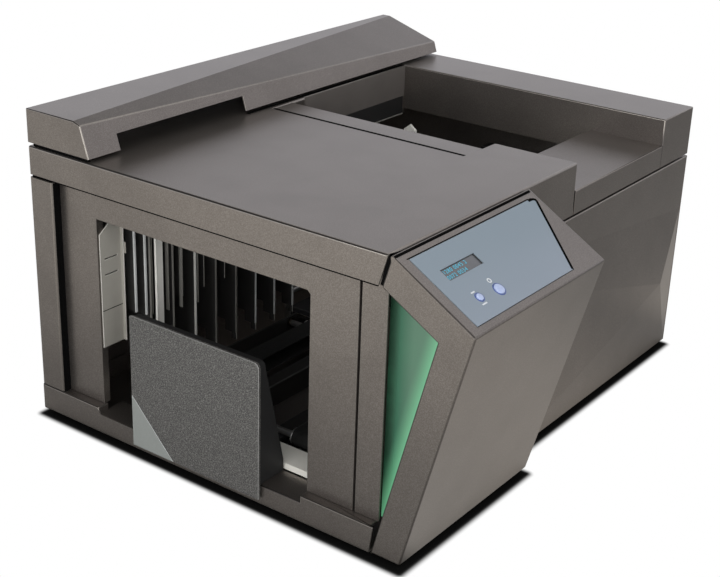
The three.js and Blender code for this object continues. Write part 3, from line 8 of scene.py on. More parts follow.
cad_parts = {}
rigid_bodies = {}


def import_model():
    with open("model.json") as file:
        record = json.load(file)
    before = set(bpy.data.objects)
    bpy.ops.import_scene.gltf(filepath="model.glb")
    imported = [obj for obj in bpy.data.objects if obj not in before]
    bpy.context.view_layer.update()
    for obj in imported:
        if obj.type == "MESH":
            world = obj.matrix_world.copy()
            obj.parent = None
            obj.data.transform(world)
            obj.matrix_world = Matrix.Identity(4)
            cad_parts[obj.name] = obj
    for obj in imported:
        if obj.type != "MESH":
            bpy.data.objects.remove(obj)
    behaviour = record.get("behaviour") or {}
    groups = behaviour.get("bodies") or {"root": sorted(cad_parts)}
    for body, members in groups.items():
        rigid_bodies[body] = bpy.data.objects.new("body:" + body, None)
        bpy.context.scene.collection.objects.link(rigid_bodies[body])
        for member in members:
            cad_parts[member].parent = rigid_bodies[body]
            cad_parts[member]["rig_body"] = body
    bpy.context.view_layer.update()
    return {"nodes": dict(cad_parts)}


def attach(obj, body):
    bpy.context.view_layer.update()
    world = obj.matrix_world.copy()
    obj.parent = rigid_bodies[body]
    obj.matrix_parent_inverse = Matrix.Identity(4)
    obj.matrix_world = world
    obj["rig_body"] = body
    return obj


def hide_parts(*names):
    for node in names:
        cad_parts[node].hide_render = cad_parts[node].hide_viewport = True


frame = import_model()

# Studio
# White paper sweep with a large soft box at the camera's side, a small one before the window
# and a wide cloth overhead. The camera stands to the right of the window face and a little
# above the machine.


class Reading:
    """One value in a finish. Sums written with it become the finish's Math nodes."""

    def __init__(self, finish, socket):
        self.finish = finish
        self.socket = socket

    def reckon(self, operation, *terms):
        return self.finish.node("ShaderNodeMath", {"operation": operation}, dict(enumerate(terms)))

    def __add__(self, other):
        return self.reckon("ADD", self, other)

    def __sub__(self, other):
        return self.reckon("SUBTRACT", self, other)

    def __rsub__(self, other):
        return self.reckon("SUBTRACT", other, self)

    def __mul__(self, other):
        return self.reckon("MULTIPLY", self, other)

    def __truediv__(self, other):
        return self.reckon("DIVIDE", self, other)

    def __rtruediv__(self, other):
        return self.reckon("DIVIDE", other, self)

    def __pow__(self, other):
        return self.reckon("POWER", self, other)

    def __gt__(self, other):
        return self.reckon("GREATER_THAN", self, other)

    def __lt__(self, other):
        return self.reckon("LESS_THAN", self, other)

    def __abs__(self):
        return self.reckon("ABSOLUTE", self)

    __radd__ = __add__
    __rmul__ = __mul__

    def least(self, other):
        return self.reckon("MINIMUM", self, other)

    def most(self, other):
        return self.reckon("MAXIMUM", self, other)

    def rise(self, low, high):
        """0 below low, 1 above high, and a soft step between."""
        return self.finish.node(
            "ShaderNodeMapRange",
            {"interpolation_type": "SMOOTHSTEP"},
            {"Value": self, "From Min": low, "From Max": high},
        )


class Finish:
    """A material, written as a recipe of nodes."""

    def __init__(self, name, owner=None):
        self.material = owner or bpy.data.materials.new(name)
        self.material.use_nodes = True
        self.tree = self.material.node_tree
        self.tree.nodes.clear()

    def node(self, kind, settings=None, sockets=None, out=0):
        made = self.tree.nodes.new(kind)
        for key, value in (settings or {}).items():
            if key == "stops":
                stops = made.color_ramp.elements
                while len(stops) < len(value):
                    stops.new(1)
                for stop, (place, colour) in zip(stops, value):
                    stop.position = place
                    stop.color = (*colour, 1)
            else:
                setattr(made, key, value)
        for key, value in (sockets or {}).items():
            if isinstance(value, Reading):
                self.tree.links.new(value.socket, made.inputs[key])
            elif value is not None:
                made.inputs[key].default_value = value
        return Reading(self, made.outputs[out]) if len(made.outputs) else None

    def place(self, stretch=None):
        """Where a point lies on the machine, in metres."""
        point = self.node("ShaderNodeTexCoord", out="Object")
        if stretch is None:
            return point
        return self.node("ShaderNodeMapping", {}, {"Vector": point, "Scale": stretch})

    def split(self, vector):
        """The three parts of a place or a direction: to the right, to the rear and up."""
        parts = self.node("ShaderNodeSeparateXYZ", {}, {0: vector})
        return [Reading(self, socket) for socket in parts.socket.node.outputs]

    def facing(self):
        """Which way the surface faces, in three parts."""
        return self.split(self.node("ShaderNodeTexCoord", out="Normal"))

    def rays(self, *kinds):
        """Whether the light is sought by a ray of each of these kinds."""
        path = self.node("ShaderNodeLightPath").socket.node
        return [Reading(self, path.outputs[f"Is {kind} Ray"]) for kind in kinds]

    def grain(self, size, detail=2.0, stretch=None):
        """Cloudy grain of a given size in metres, about one half on average."""
        sockets = {"Vector": self.place(stretch), "Scale": 1 / size, "Detail": detail}
        return self.node("ShaderNodeTexNoise", {}, sockets)

    def cells(self, size, feature="F1"):
        """Distance to the nearest of many scattered points."""
        sockets = {"Vector": self.place(), "Scale": 1 / size}
        return self.node("ShaderNodeTexVoronoi", {"feature": feature}, sockets)

    def mix(self, first, second, share):
        """One colour laid over another."""
        colours = [c if isinstance(c, Reading) else (*c, 1) for c in (first, second)]
        sockets = {0: share, 6: colours[0], 7: colours[1]}
        return self.node("ShaderNodeMix", {"data_type": "RGBA"}, sockets, out=2)

    def bump(self, height, depth, strength=1.0):
        sockets = {"Height": height, "Distance": depth, "Strength": strength}
        return self.node("ShaderNodeBump", {}, sockets)

    def mark(self, name):
        """What an attribute of the mesh says at a point."""
        return self.node("ShaderNodeAttribute", {"attribute_name": name}, out="Fac")

    def paint(self, colour, roughness, metallic=0.0, normal=None, **rest):
        sockets = {
            "Base Color": colour if isinstance(colour, Reading) else (*colour, 1),
            "Roughness": roughness,
            "Metallic": metallic,
            "Normal": normal,
        }
        for key, value in rest.items():
            sockets[key.replace("_", " ")] = value
        shader = self.node("ShaderNodeBsdfPrincipled", {}, sockets)
        return self.cover(shader)

    def cover(self, shader):
        self.node("ShaderNodeOutputMaterial", {}, {"Surface": shader})
        return self.material


scene = bpy.context.scene
scene.view_settings.view_transform = "Standard"

camera = bpy.data.objects.new("camera", bpy.data.cameras.new("camera"))
camera.location = (0.9028, -1.3606, 0.8449)
camera.rotation_euler = [math.radians(angle) for angle in (66.6522, -1.8575, 36.6251)]
camera.data.lens = 69.154
camera.data.sensor_width = 36
camera.data.clip_end = 40
scene.collection.objects.link(camera)
scene.camera = camera

# The cloth round the studio is white. In polished sheet its ceiling looks dark, on the left
# from lower down.
white_cloth = (1, 1, 1)
cool_cloth = (0.97, 0.97, 1.04)
sky_light = 0.35
ceiling = (0.68, 0.9)
left_ceiling = (0.46, 0.62)
left_side = (-0.02, 0.22)
ceiling_shade = 0.9
world = bpy.data.worlds.new("cloth")
scene.world = world
sky = Finish("cloth", world)
look, glance, through = sky.rays("Camera", "Glossy", "Transmission")
seen = look.most(glance).most(through)
right, _, height = sky.split(sky.node("ShaderNodeTexCoord", out="Generated"))
left = (0 - right).rise(*left_side)
dark = height.rise(*ceiling).most(height.rise(*left_ceiling) * left)
level = (seen * (1 - sky_light) + sky_light) * (1 - glance * dark * ceiling_shade)
tint = sky.mix(white_cloth, cool_cloth, glance)
backdrop = sky.node("ShaderNodeBackground", {}, {"Color": tint, "Strength": level})
sky.node("ShaderNodeOutputWorld", {}, {"Surface": backdrop})


def soft_box(name, place, aim, width, height, power):
    lamp = bpy.data.lights.new(name, "AREA")
    lamp.shape = "RECTANGLE"
    lamp.size = width
    lamp.size_y = height
    lamp.energy = power
    box = bpy.data.objects.new(name, lamp)
    box.location = place
    box.rotation_euler = (Vector(aim) - Vector(place)).to_track_quat("-Z", "Y").to_euler()
    scene.collection.objects.link(box)


soft_box("camera_side_box", (1.45, -1.55, 0.95), (0, 0, 0.15), 2.1, 2.1, 33)
soft_box("window_side_box", (0.05, -2.3, 0.75), (0, 0, 0.15), 1.0, 0.8, 12)
soft_box("overhead_cloth", (-0.1, 0.2, 2.2), (0, 0, 0.2), 2.2, 2.2, 14)

paper_size = 16
shadow_edge = (0.0025, 0.0118)
window_line = -0.349
tray_footprint = ((-0.3082, window_line), (0.2052, 0.352))
housing_footprint = ((0.2, window_line), (0.2355, -0.089))

paper = bpy.data.meshes.new("paper")
work = bmesh.new()
bmesh.ops.create_grid(work, x_segments=1, y_segments=1, size=paper_size / 2)
work.to_mesh(paper)
work.free()
floor = bpy.data.objects.new("paper", paper)
scene.collection.objects.link(floor)

# Painted reflection: how bright, and how warm, the paper is shown to polished sheet, place by
# place:
# before the window, beside the machine, close to its foot and behind it
before_reach, before_least = 0.85, 0.62
before_left, before_narrow, before_fall = 0.4, 2.5, 0.2
beside_pale, beside_fall, beside_reach = 0.33, 0.32, 0.48
foot_pale, foot_reach = 0.02, (0.03, 0.16)
behind_pale, behind_along, behind_across = 0.385, (0.36, 0.5), (0.3, 0.38)
window_turn = 0.05
reflection_lift = 0.42
white_paper = (1, 1, 1)
warm_reflection = (1.0, 0.975, 0.93)
warm_side_reflection, warm_reflection_along = (1.0, 0.93, 0.85), (-0.4, 0)
# Painted shadow: the paper's grey under and close to the machine, its grey in the open, and where
# one turns to the other
shade_grey, open_grey, painted_shadow_edge = (0.008, 0.008, 0.008), (0.5, 0.5, 0.5), (0.0, 0.022)


def distance(across, along, low, high):
    """How far a spot of the floor lies from a footprint, given by its low and high corner."""
    gap_x, gap_y = (
        (abs(spot - (start + end) / 2) - (end - start) / 2).most(0)
        for spot, start, end in zip((across, along), low, high)
    )
    return (gap_x * gap_x + gap_y * gap_y) ** 0.5


sweep = Finish("paper")
across, along, _ = sweep.split(sweep.place())
away = distance(across, along, *tray_footprint).least(distance(across, along, *housing_footprint))
look, glance, through = sweep.rays("Camera", "Glossy", "Transmission")
before = (window_line - along).rise(0, before_reach)
spread = 1 - ((across + before_left) * before_narrow) ** 2 * before_fall
before = before * spread.most(before_least)
beside = beside_pale - along.rise(0.0, beside_reach) * beside_fall
beside = beside + (1 - away.rise(*foot_reach)) * foot_pale
behind = along.rise(*behind_along) * (1 - across.rise(*behind_across)) * behind_pale
beside = beside.most(behind)
pale = beside + (before - beside) * (window_line + window_turn - along).rise(0, window_turn)
# Camera rays see white paper away from the machine; reflected rays see the painted reflection
white = (look.most(through) * away.rise(*shadow_edge)).most(glance * pale)
shine = sweep.mix(white_paper, warm_reflection, glance)
shine = sweep.mix(shine, warm_side_reflection, glance * along.rise(*warm_reflection_along))
# Painted shadow: the paper's own grey falls to near black under the machine and close to its
# footprint
grey = sweep.mix(shade_grey, open_grey, away.rise(*painted_shadow_edge))
lit = sweep.node("ShaderNodeEmission", {}, {"Color": shine, "Strength": glance * reflection_lift + 1})
matt = sweep.node("ShaderNodeBsdfDiffuse", {}, {"Color": grey})
paper_finish = sweep.cover(sweep.node("ShaderNodeMixShader", {}, {0: white, 1: matt, 2: lit}))
floor.data.materials.append(paper_finish)

# Folded covers and panels
# Two-millimetre steel sheet, laser cut and folded, then powder coated in a bronze grey
# with a fine metallic speckle. Bends and cut edges are painted lighter, partly as thinner coat
# and partly as painted highlight, and bends on the front faces get painted shade or highlight
# by the way they face.
bend_radius, wide_bend, tight_bend = 0.0015, 0.0024, 0.0005
cover_bend, housing_bend = 0.0013, 0.0019
bend_steps = 3
cut_ease = 0.0003
cut_degrees = 50
bend_width = 0.0048
beam_front = 0.266
same_spot = 1e-6
flat_degrees = 0.6
coat_colour = (0.163, 0.146, 0.131)
coat_speck = (0.33, 0.3, 0.275)
# Lighter colour of bends and cut edges, partly wear and partly painted highlight
coat_edge_wear_and_highlight = (0.36, 0.335, 0.295)
coat_rough, rough_spread, coat_metal = 0.34, 0.22, 0.85
brow_shade = (0.02, 0.018, 0.016)
speckle_size, speckle_from, speckle_share = 0.0011, 0.42, 1.7
cloud_size, cloud_from, cloud_share, cloud_tone = 0.06, 0.4, 0.8, 0.72
flake_size, flake_reach, flake_share = 0.0021, 0.16, 2.4
tooth_size, tooth_depth, tooth_strength = 0.0009, 0.00006, 0.35
rub_size, edge_lift_least, rub_share, sill_highlight_share = 0.004, 0.05, 0.35, 0.4
brow_share, upright_shade_share, upright_shade_tone = 0.9, 0.45, 0.4
forward_turn, brow_turn, sill_turn = (0.2, 0.6), (0.3, 0.5), (0.02, 0.12)
side_turn, level_turn = (0.25, 0.5), (0.3, 0.6)


def toned(colour, share):
    """A colour made darker, or lighter with a share above one."""
    return tuple(share * part for part in colour)


def powder_coat(name, edge):
    finish = Finish(name)
    fine = finish.grain(speckle_size)
    cloud = finish.grain(cloud_size)
    flakes = finish.cells(flake_size)
    base = finish.mix(coat_colour, coat_speck, (fine - speckle_from).most(0) * speckle_share)
    clouded = (cloud - cloud_from).most(0) * cloud_share
    base = finish.mix(base, toned(coat_colour, cloud_tone), clouded)
    base = finish.mix(base, coat_speck, (flake_reach - flakes).most(0) * flake_share)
    side, rear, upward = finish.facing()
    forward = (0 - rear).rise(*forward_turn)
    # Painted light on bends round the front faces: a brow that looks half up is painted dark as
    # shade, a sill that looks less up is painted lighter as highlight, and an upright bend that
    # looks to the side is painted darker as shade
    brow = forward * upward.rise(*brow_turn)
    sill_highlight = forward * upward.rise(*sill_turn) - brow
    upright = forward * abs(side).rise(*side_turn) * (1 - abs(upward).rise(*level_turn))
    mark = finish.mark("edge")
    # Bends and cut edges are lighter, partly as random wear and partly as painted highlight, most
    # on sills
    wear_and_highlight = edge_lift_least + finish.grain(rub_size, 1.0) * rub_share + sill_highlight.most(0) * sill_highlight_share
    base = finish.mix(base, edge, mark * wear_and_highlight.least(1) * (1 - brow))
    base = finish.mix(base, brow_shade, mark * brow * brow_share)
    base = finish.mix(base, toned(coat_colour, upright_shade_tone), mark * upright * upright_shade_share)
    skin = finish.bump(finish.grain(tooth_size, 1.0), tooth_depth, tooth_strength)
    return finish.paint(base, coat_rough + (fine - 0.5) * rough_spread, coat_metal, skin)


coat = powder_coat("bronze_powder_coat", coat_edge_wear_and_highlight)


def narrow(edge):
    """How wide the narrower of an edge's two faces is, taken as a strip of even width."""
    return min(
        2 * face.calc_area() / max(face.calc_perimeter(), same_spot) for face in edge.link_faces
    )


def ease(work, edges, size, steps=1, layer=None, clamp=False):
    """Rounds edges, or breaks them with one flat step, and marks the new faces on a layer."""
    eased = bmesh.ops.bevel(
        work,
        geom=edges,
        offset=size,
        offset_type="OFFSET",
        affect="EDGES",
        segments=steps,
        profile=0.5,
        material=-1,
        clamp_overlap=clamp,
    )
    if layer is not None:
        for face in eased["faces"]:
            face[layer] = 1
            face.smooth = steps > 1


def corners(work, least=35):
    """The edges that stand out by more than an angle in degrees."""
    return [
        edge
        for edge in work.edges
        if edge.is_manifold and edge.is_convex and edge.calc_face_angle(0) > math.radians(least)
    ]


def merged(node):
    """A CAD node's surface as one skin with flat faces whole."""
    work = bmesh.new()
    work.from_mesh(frame["nodes"][node].data)
    bmesh.ops.remove_doubles(work, verts=work.verts, dist=2 * same_spot)
    bmesh.ops.dissolve_limit(
        work, angle_limit=math.radians(flat_degrees), verts=work.verts, edges=work.edges
    )
    return work


def put(name, work, finish, body, node=None):
    """Makes a piece of what lies on the bench, and fixes it to the body that carries it."""
    mesh = bpy.data.meshes.new(name)
    work.to_mesh(mesh)
    work.free()
    mesh.materials.append(finish)
    piece = bpy.data.objects.new(name, mesh)
    scene.collection.objects.link(piece)
    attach(piece, body)
    if node:
        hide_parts(node)
    return piece


def body_of(node):
    return frame["nodes"][node]["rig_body"]


def folded(node, finish, bend=bend_radius, cut=cut_ease, step=None):
    """A sheet piece with its bends rounded and its cut edges broken. A step divides its sides."""
    work = merged(node)
    if step is not None:
        bmesh.ops.bisect_plane(
            work,
            geom=[*work.verts, *work.edges, *work.faces],
            dist=same_spot,
            plane_co=(0, step, 0),
            plane_no=(0, 1, 0),
        )
    layer = work.faces.layers.float.new("edge")
    for face in work.faces:
        face.smooth = False
    if bend:
        bends = [edge for edge in corners(work) if narrow(edge) > bend_width]
        ease(work, bends, bend, bend_steps, layer)
    if cut:
        cuts = [edge for edge in corners(work, cut_degrees) if narrow(edge) <= bend_width]
        ease(work, cuts, cut, 1, layer)
    return put(node + "_skin", work, finish, body_of(node), node)


for name in ("base_tray", "right_side_panel", "rear_panel", "hopper_front_guide"):
    folded(name, coat)
for name in ("front_panel", "right_pillar"):
    folded(name, coat, tight_bend)
for name in ("left_side_panel", "front_top_cover"):
    folded(name, coat, wide_bend)
folded("rear_top_cover", coat, step=beam_front)

# Raised cover
# Long folded cover on the left of the top, from the same coated sheet. Its upper edge is
# one slanting fold, and a finger notch is cut in its inner side.
folded("raised_cover", coat, cover_bend)

# Control housing
# Coated shell folded to a point, open to the front for the light panel, with a pocket
# pressed into its slope for the control overlay.
# Its bends and cut edges are painted dark brown: painted shade for the shadow line where its
# folded band meets the skin
housing_edge_shade = (0.045, 0.038, 0.032)
folded("control_housing", powder_coat("housing_powder_coat", housing_edge_shade), housing_bend)

# Control overlay
# Blue-grey printed polyester on a thin carrier, let into the pocket of the slope. Black lines
# along its upper edge and its slanted end are painted shade, standing in for the dark of the
# joints.
film_low, film_high, film_heights = (0.23, 0.272, 0.326), (0.195, 0.247, 0.29), (0.297, 0.342)
film_dark, film_pale, film_edge = (0.19, 0.235, 0.28), (0.3, 0.345, 0.39), (0.05, 0.06, 0.07)
film_tooth, film_drift = 0.0006, 0.12
ink_whites = (0.72, 0.74, 0.76), (0.6, 0.62, 0.66)
fine_ease = 0.0002
print_thickness = 0.00012
print_out = 0.24

# The slope has axes of its own: down it, back along it, and out of it
slope_top = Vector((0.2088, 0, 0.351))
slope_down = Vector((0.0994, 0, -0.0574)).normalized()
slope_out = Vector((0.0574, 0, 0.0994)).normalized()

def on_slope(down, back, out):
    """A place on the slope, from millimetres down it, back from the front and out of it."""
    place = slope_top + slope_down * (down / 1000) + slope_out * (out / 1000)
    return place + Vector((0, window_line + back / 1000, 0))


def slope_frame(down, back, out):
    """Turns flat work to lie on the slope, its right to the rear and its top to the upper edge."""
    turn = Matrix((Vector((0, 1, 0)), -slope_down, slope_out)).transposed().to_4x4()
    return Matrix.Translation(on_slope(down, back, out)) @ turn


def printed_film():
    finish = Finish("control_film")
    tooth = finish.grain(film_tooth, 1.0)
    drift = finish.grain(film_drift, 1.0)
    _, _, up = finish.split(finish.place())
    # The film is painted lighter towards the lower edge of the slope
    shade = finish.mix(film_low, film_high, up.rise(*film_heights))
    shade = finish.mix(shade, film_dark, (drift - 0.4).most(0))
    shade = finish.mix(shade, film_pale, (tooth - 0.5).most(0) * 0.5)
    shade = finish.mix(shade, film_edge, finish.mark("edge") * 0.5)
    skin = finish.bump(tooth, 0.00003, 0.25)
    return finish.paint(shade, 0.34 + (tooth - 0.5) * 0.15, 0.0, skin)


folded("panel_overlay", printed_film(), bend=0, cut=fine_ease)


def print_white():
    finish = Finish("white_print")
    return finish.paint(finish.mix(*ink_whites, finish.grain(0.0004, 1.0)), 0.5)


white_ink = print_white()


def swung(work, parts, steps):
    """Swings a profile once round the upright line through the middle."""
    bmesh.ops.spin(
        work,
        geom=parts,
        cent=(0, 0, 0),
        axis=(0, 0, 1),
        angle=2 * math.pi,
        steps=steps,
        use_merge=True,
    )


def printed(name, work, down, back):
    """Gives a flat mark the thickness of ink and lays it on the overlay."""
    bmesh.ops.solidify(work, geom=work.faces[:], thickness=print_thickness)
    bmesh.ops.recalc_face_normals(work, faces=work.faces)
    bmesh.ops.transform(work, matrix=slope_frame(down, back, print_out), verts=work.verts)
    return put(name, work, white_ink, "body")


def ring_mark(name, down, back, outer, inner, steps=32):
    work = bmesh.new()
    band = [work.verts.new((inner, 0, 0)), work.verts.new((outer, 0, 0))]
    swung(work, [*band, work.edges.new(band)], steps)
    bmesh.ops.recalc_face_normals(work, faces=work.faces)
    return printed(name, work, down, back)


def bar_mark(name, down, back, length, height):
    work = bmesh.new()
    bmesh.ops.create_grid(work, x_segments=1, y_segments=1, size=0.5)
    bmesh.ops.scale(work, vec=(length, height, 1), verts=work.verts)
    return printed(name, work, down, back)


ring_mark("start_mark", 70.4, 82.4, 0.003, 0.0017)
bar_mark("stop_mark", 72.8, 48.9, 0.0062, 0.0016)
bar_mark("stop_under_mark", 88.9, 49.8, 0.0082, 0.0016)

joint_black, joint_grey = (0.002, 0.002, 0.002), (0.008, 0.008, 0.008)
joint_height = 0.0004
joint_out = 0.02


def joint_shade_paint():
    finish = Finish("joint_shade_black")
    ripple = finish.grain(0.0015)
    shade = finish.mix(joint_black, joint_grey, ripple)
    skin = finish.bump(ripple, 0.0001, 0.4)
    return finish.paint(shade, 1.0, 0.0, skin, Specular_IOR_Level=0.0)


def joint_line(name, points, width, lie=None):
    """A raised black line along points of the slope, or of another flat that it is given: painted
    shade for the dark of a joint.
    """
    work = bmesh.new()
    spine = [work.verts.new((back / 1000, -down / 1000, 0)) for down, back in points]
    run = [work.edges.new(pair) for pair in zip(spine, spine[1:])]
    raised = bmesh.ops.extrude_edge_only(work, edges=run)
    upper = [part for part in raised["geom"] if isinstance(part, bmesh.types.BMVert)]
    bmesh.ops.translate(work, vec=(0, 0, joint_height), verts=upper)
    bmesh.ops.recalc_face_normals(work, faces=work.faces)
    bmesh.ops.solidify(work, geom=work.faces[:], thickness=width)
    bmesh.ops.recalc_face_normals(work, faces=work.faces)
    bmesh.ops.transform(work, matrix=lie or slope_frame(0, 0, joint_out), verts=work.verts)
    return put(name, work, joint_shade_finish, "body")


# Black lines of painted shade in the joints round the overlay and between cover and slope
joint_shade_finish = joint_shade_paint()
joint_line(
    "overlay_joint",
    [(11.2, 240), (11.2, 246.5), (12.2, 250.5), (14.6, 253.2), (17.6, 252.8), (105.2, 203.4)],
    0.003,
)
joint_line("overlay_top_joint", [(10.9, 12.5), (10.9, 241)], 0.0009)
# Painted shade in the gap between the front cover and the top of the slope
joint_line("cover_seam", [(1.3, 1.2), (1.3, 256.5)], 0.003)

# The machine's front left corner at floor height, from which millimetres are counted
home = Vector((*tray_footprint[0], 0))

# The black line of painted shade between cover and housing runs on down the slanted end of the
# front cover
seam_back = 0.0012
front_frame = Matrix(
    ((1, 0, 0, home.x), (0, 0, -1, window_line + seam_back), (0, 1, 0, 0), (0, 0, 0, 1))
)
joint_line("cover_end_seam", [(-350.3, 513.6), (-317.5, 504.3)], 0.0034, front_frame)

# Display
# Backlit character display behind a smoked window, its figures lit in cyan. It is screwed
# under the slope and looks out through an opening in the overlay's carrier.
figure_height = 0.0066
figure_depth = -1.45
figure_spacing = 1.22
window_smoke = (0.052, 0.055, 0.06), (0.075, 0.078, 0.082)
figure_unlit, figure_cyans = (0.02, 0.12, 0.16), ((0.04, 0.42, 0.62), (0.07, 0.6, 0.8))


def smoked_window():
    finish = Finish("smoked_window")
    dust = finish.grain(0.003, 3.0)
    shade = finish.mix(*window_smoke, dust)
    return finish.paint(shade, 0.16 + dust * 0.08, Coat_Weight=0.6)


def lit_figures():
    finish = Finish("lit_figures")
    glow = finish.mix(*figure_cyans, finish.grain(0.0007, 1.0))
    return finish.paint(figure_unlit, 0.4, Emission_Color=glow, Emission_Strength=0.75)


def recoat(node, finish):
    """Gives a CAD node its finish and leaves its shape alone."""
    slots = frame["nodes"][node].data.materials
    slots.clear()
    slots.append(finish)


def row_of_figures(name, words, down, back):
    """Figures cut from a thin film and laid just under the window's face."""
    curve = bpy.data.curves.new(name, "FONT")
    curve.body = words
    curve.size = figure_height
    curve.space_character = figure_spacing
    curve.align_y = "CENTER"
    written = bpy.data.objects.new(name + "_words", curve)
    scene.collection.objects.link(written)
    bpy.context.view_layer.update()
    drawn = written.evaluated_get(bpy.context.evaluated_depsgraph_get())
    flat = bpy.data.meshes.new_from_object(drawn)
    bpy.data.objects.remove(written)
    work = bmesh.new()
    work.from_mesh(flat)
    bmesh.ops.remove_doubles(work, verts=work.verts, dist=same_spot)
    bmesh.ops.transform(work, matrix=slope_frame(down, back, figure_depth), verts=work.verts)
    return put(name, work, figures, "body")


recoat("display", smoked_window())
figures = lit_figures()
row_of_figures("display_upper_figures", "1280 0045 2", 40.2, 39.6)
row_of_figures("display_lower_figures", "0072 0034", 47.4, 39.2)

# Start and stop keys
# Domed caps moulded in pale blue, held under the slope by a collar. Each stands in a darker
# blue bezel that is pressed into the overlay.
cap_blues = (0.32, 0.4, 0.64), (0.46, 0.54, 0.76)
bezel_blues = (0.03, 0.06, 0.22), (0.06, 0.11, 0.34)
turned_steps = 40
collar_foot, collar_top, cap_shoulder, dome_rise, dome_steps = -4.6, -3.3, 0.9, 1, 6


def cap_plastic():
    finish = Finish("blue_cap")
    haze = finish.grain(0.004)
    skin = finish.bump(haze, 0.00005, 0.2)
    return finish.paint(finish.mix(*cap_blues, haze), 0.22, 0.0, skin, Coat_Weight=0.5)


def bezel_plastic():
    finish = Finish("blue_bezel")
    return finish.paint(finish.mix(*bezel_blues, finish.grain(0.002)), 0.3, Coat_Weight=0.4)


def turned(profile, down, back):
    """A profile of radius and height in millimetres, turned round a line out of the slope."""
    work = bmesh.new()
    points = [work.verts.new((radius / 1000, 0, height / 1000)) for radius, height in profile]
    edges = [work.edges.new(pair) for pair in zip(points, points[1:])]
    swung(work, [*points, *edges], turned_steps)
    bmesh.ops.remove_doubles(work, verts=work.verts, dist=same_spot)
    bmesh.ops.recalc_face_normals(work, faces=work.faces)
    for face in work.faces:
        face.smooth = True
    bmesh.ops.transform(work, matrix=slope_frame(down, back, 0), verts=work.verts)
    return work


cap_finish, bezel_finish = cap_plastic(), bezel_plastic()
bezel_gap = 0.4
bezel_section = [
    (0, -0.1), (0, 0.5), (0.25, 0.72), (0.9, 0.6), (1.2, 0.1), (1.2, -0.1), (0, -0.1)
]
for name, down, back, radius, collar in (
    ("start_button", 83.3, 84, 6.3, 8),
    ("stop_button", 80.5, 51.4, 4.3, 5.8),
):
    stem = [
        (0, collar_foot),
        (collar, collar_foot),
        (collar, collar_top),
        (radius, collar_top),
        (radius, cap_shoulder),
    ]
    turns = [i * math.pi / (2 * dome_steps) for i in range(1, dome_steps)]
    dome = [(radius * math.cos(turn), dome_rise + math.sin(turn)) for turn in turns]
    cap = turned([*stem, *dome, (0, dome_rise + 1)], down, back)
    put(name + "_cap", cap, cap_finish, name, name)
    bezel = turned([(radius + bezel_gap + r, h) for r, h in bezel_section], down, back)
    put(name + "_bezel", bezel, bezel_finish, "body")

# Light panel and boards
# Opal acrylic lit green from one edge by a strip of emitters, its glow painted darker where the
# pillar shades it, and the control board behind the keys, in green solder resist.
light_from, light_to, light_nose = 0.1944, 0.2658, 0.276
light_lean = (0.9691, 0.2468)
# The glow is painted near black at the left, partly as the pillar's shade over the panel, and
# rises towards the slanted edge where the emitters shine in
light_stops = [
    (0.0, (0.0, 0.002, 0.001)),
    (0.1, (0.001, 0.012, 0.006)),
    (0.2, (0.006, 0.07, 0.036)),
    (0.42, (0.066, 0.138, 0.092)),
    (1.0, (0.085, 0.175, 0.117)),
]
edge_glow, edge_glow_width, edge_glow_power = (0.21, 0.64, 0.34), 0.026, 1.4
light_haze, acrylic_unlit = (0.03, 0.2, 0.1), (0.02, 0.05, 0.03)
resist_greens, resist_copper = ((0.012, 0.085, 0.045), (0.03, 0.15, 0.08)), (0.35, 0.3, 0.16)
block_ease_share = 1 / 8


def opal_acrylic():
    finish = Finish("green_lit_acrylic")
    across, _, up = finish.split(finish.place())
    share = (across - light_from) / (light_to - light_from)
    glow = finish.node("ShaderNodeValToRGB", {"stops": light_stops}, {0: share})
    # How far a point lies from the slanted outer edge, where the emitters shine in
    inward = (light_to - across) * light_lean[0] - (light_nose - up) * light_lean[1]
    near = (1 - inward / edge_glow_width).most(0) ** edge_glow_power
    glow = finish.mix(glow, edge_glow, near)
    haze = finish.grain(0.02)
    glow = finish.mix(glow, light_haze, (haze - 0.45).most(0) * 0.3)
    return finish.paint(acrylic_unlit, 0.4, Emission_Color=glow, Emission_Strength=1.0)


def solder_resist():
    finish = Finish("solder_resist")
    tracks = finish.cells(0.004)
    board = finish.mix(*resist_greens, finish.grain(0.006, 3.0))
    board = finish.mix(board, resist_copper, (0.22 - tracks).most(0) * 4)
    return finish.paint(board, 0.4, 0.0, finish.bump(tracks, 0.0001, 0.3))


def bar_stock(name, low, high, finish, body="body"):
    """A plain block between two corners, in millimetres from the machine's front left corner."""
    work = bmesh.new()
    size = Vector(high) - Vector(low)
    bmesh.ops.create_cube(work, size=1)
    bmesh.ops.scale(work, vec=size / 1000, verts=work.verts)
    bmesh.ops.translate(work, vec=home + (Vector(low) + size / 2) / 1000, verts=work.verts)
    ease(work, work.edges[:], min(size) / 1000 * block_ease_share, clamp=True)
    return put(name, work, finish, body)


lit_acrylic = opal_acrylic()
recoat("light_panel", lit_acrylic)
bar_stock("light_panel_edge", (502.6, 22.4, 42), (514.25, 25.2, 316), lit_acrylic)
resist = solder_resist()
for node in ("control_board", "led_board"):
    recoat(node, resist)

# Window side plate
# Pale grey zinc-coated plate with two slots, cut and folded, and screwed to the folded edge
# of the window.
zinc_edge = (0.7, 0.69, 0.65)
rolled_grain = (1, 1, 0.06)
black_strip_blacks = (0.002, 0.002, 0.002), (0.007, 0.007, 0.007)


def zinc_plate(name, pale, dark, rough, metallic=0.0):
    finish = Finish(name)
    rolled = finish.grain(0.02, 3.0, rolled_grain)
    bloom = finish.grain(0.012, 3.0)
    shade = finish.mix(dark, pale, rolled * 0.6 + bloom * 0.5)
    shade = finish.mix(shade, zinc_edge, finish.mark("edge") * 0.7)
    skin = finish.bump(rolled, 0.00004, 0.3)
    return finish.paint(shade, rough + (bloom - 0.5) * 0.25, metallic, skin)


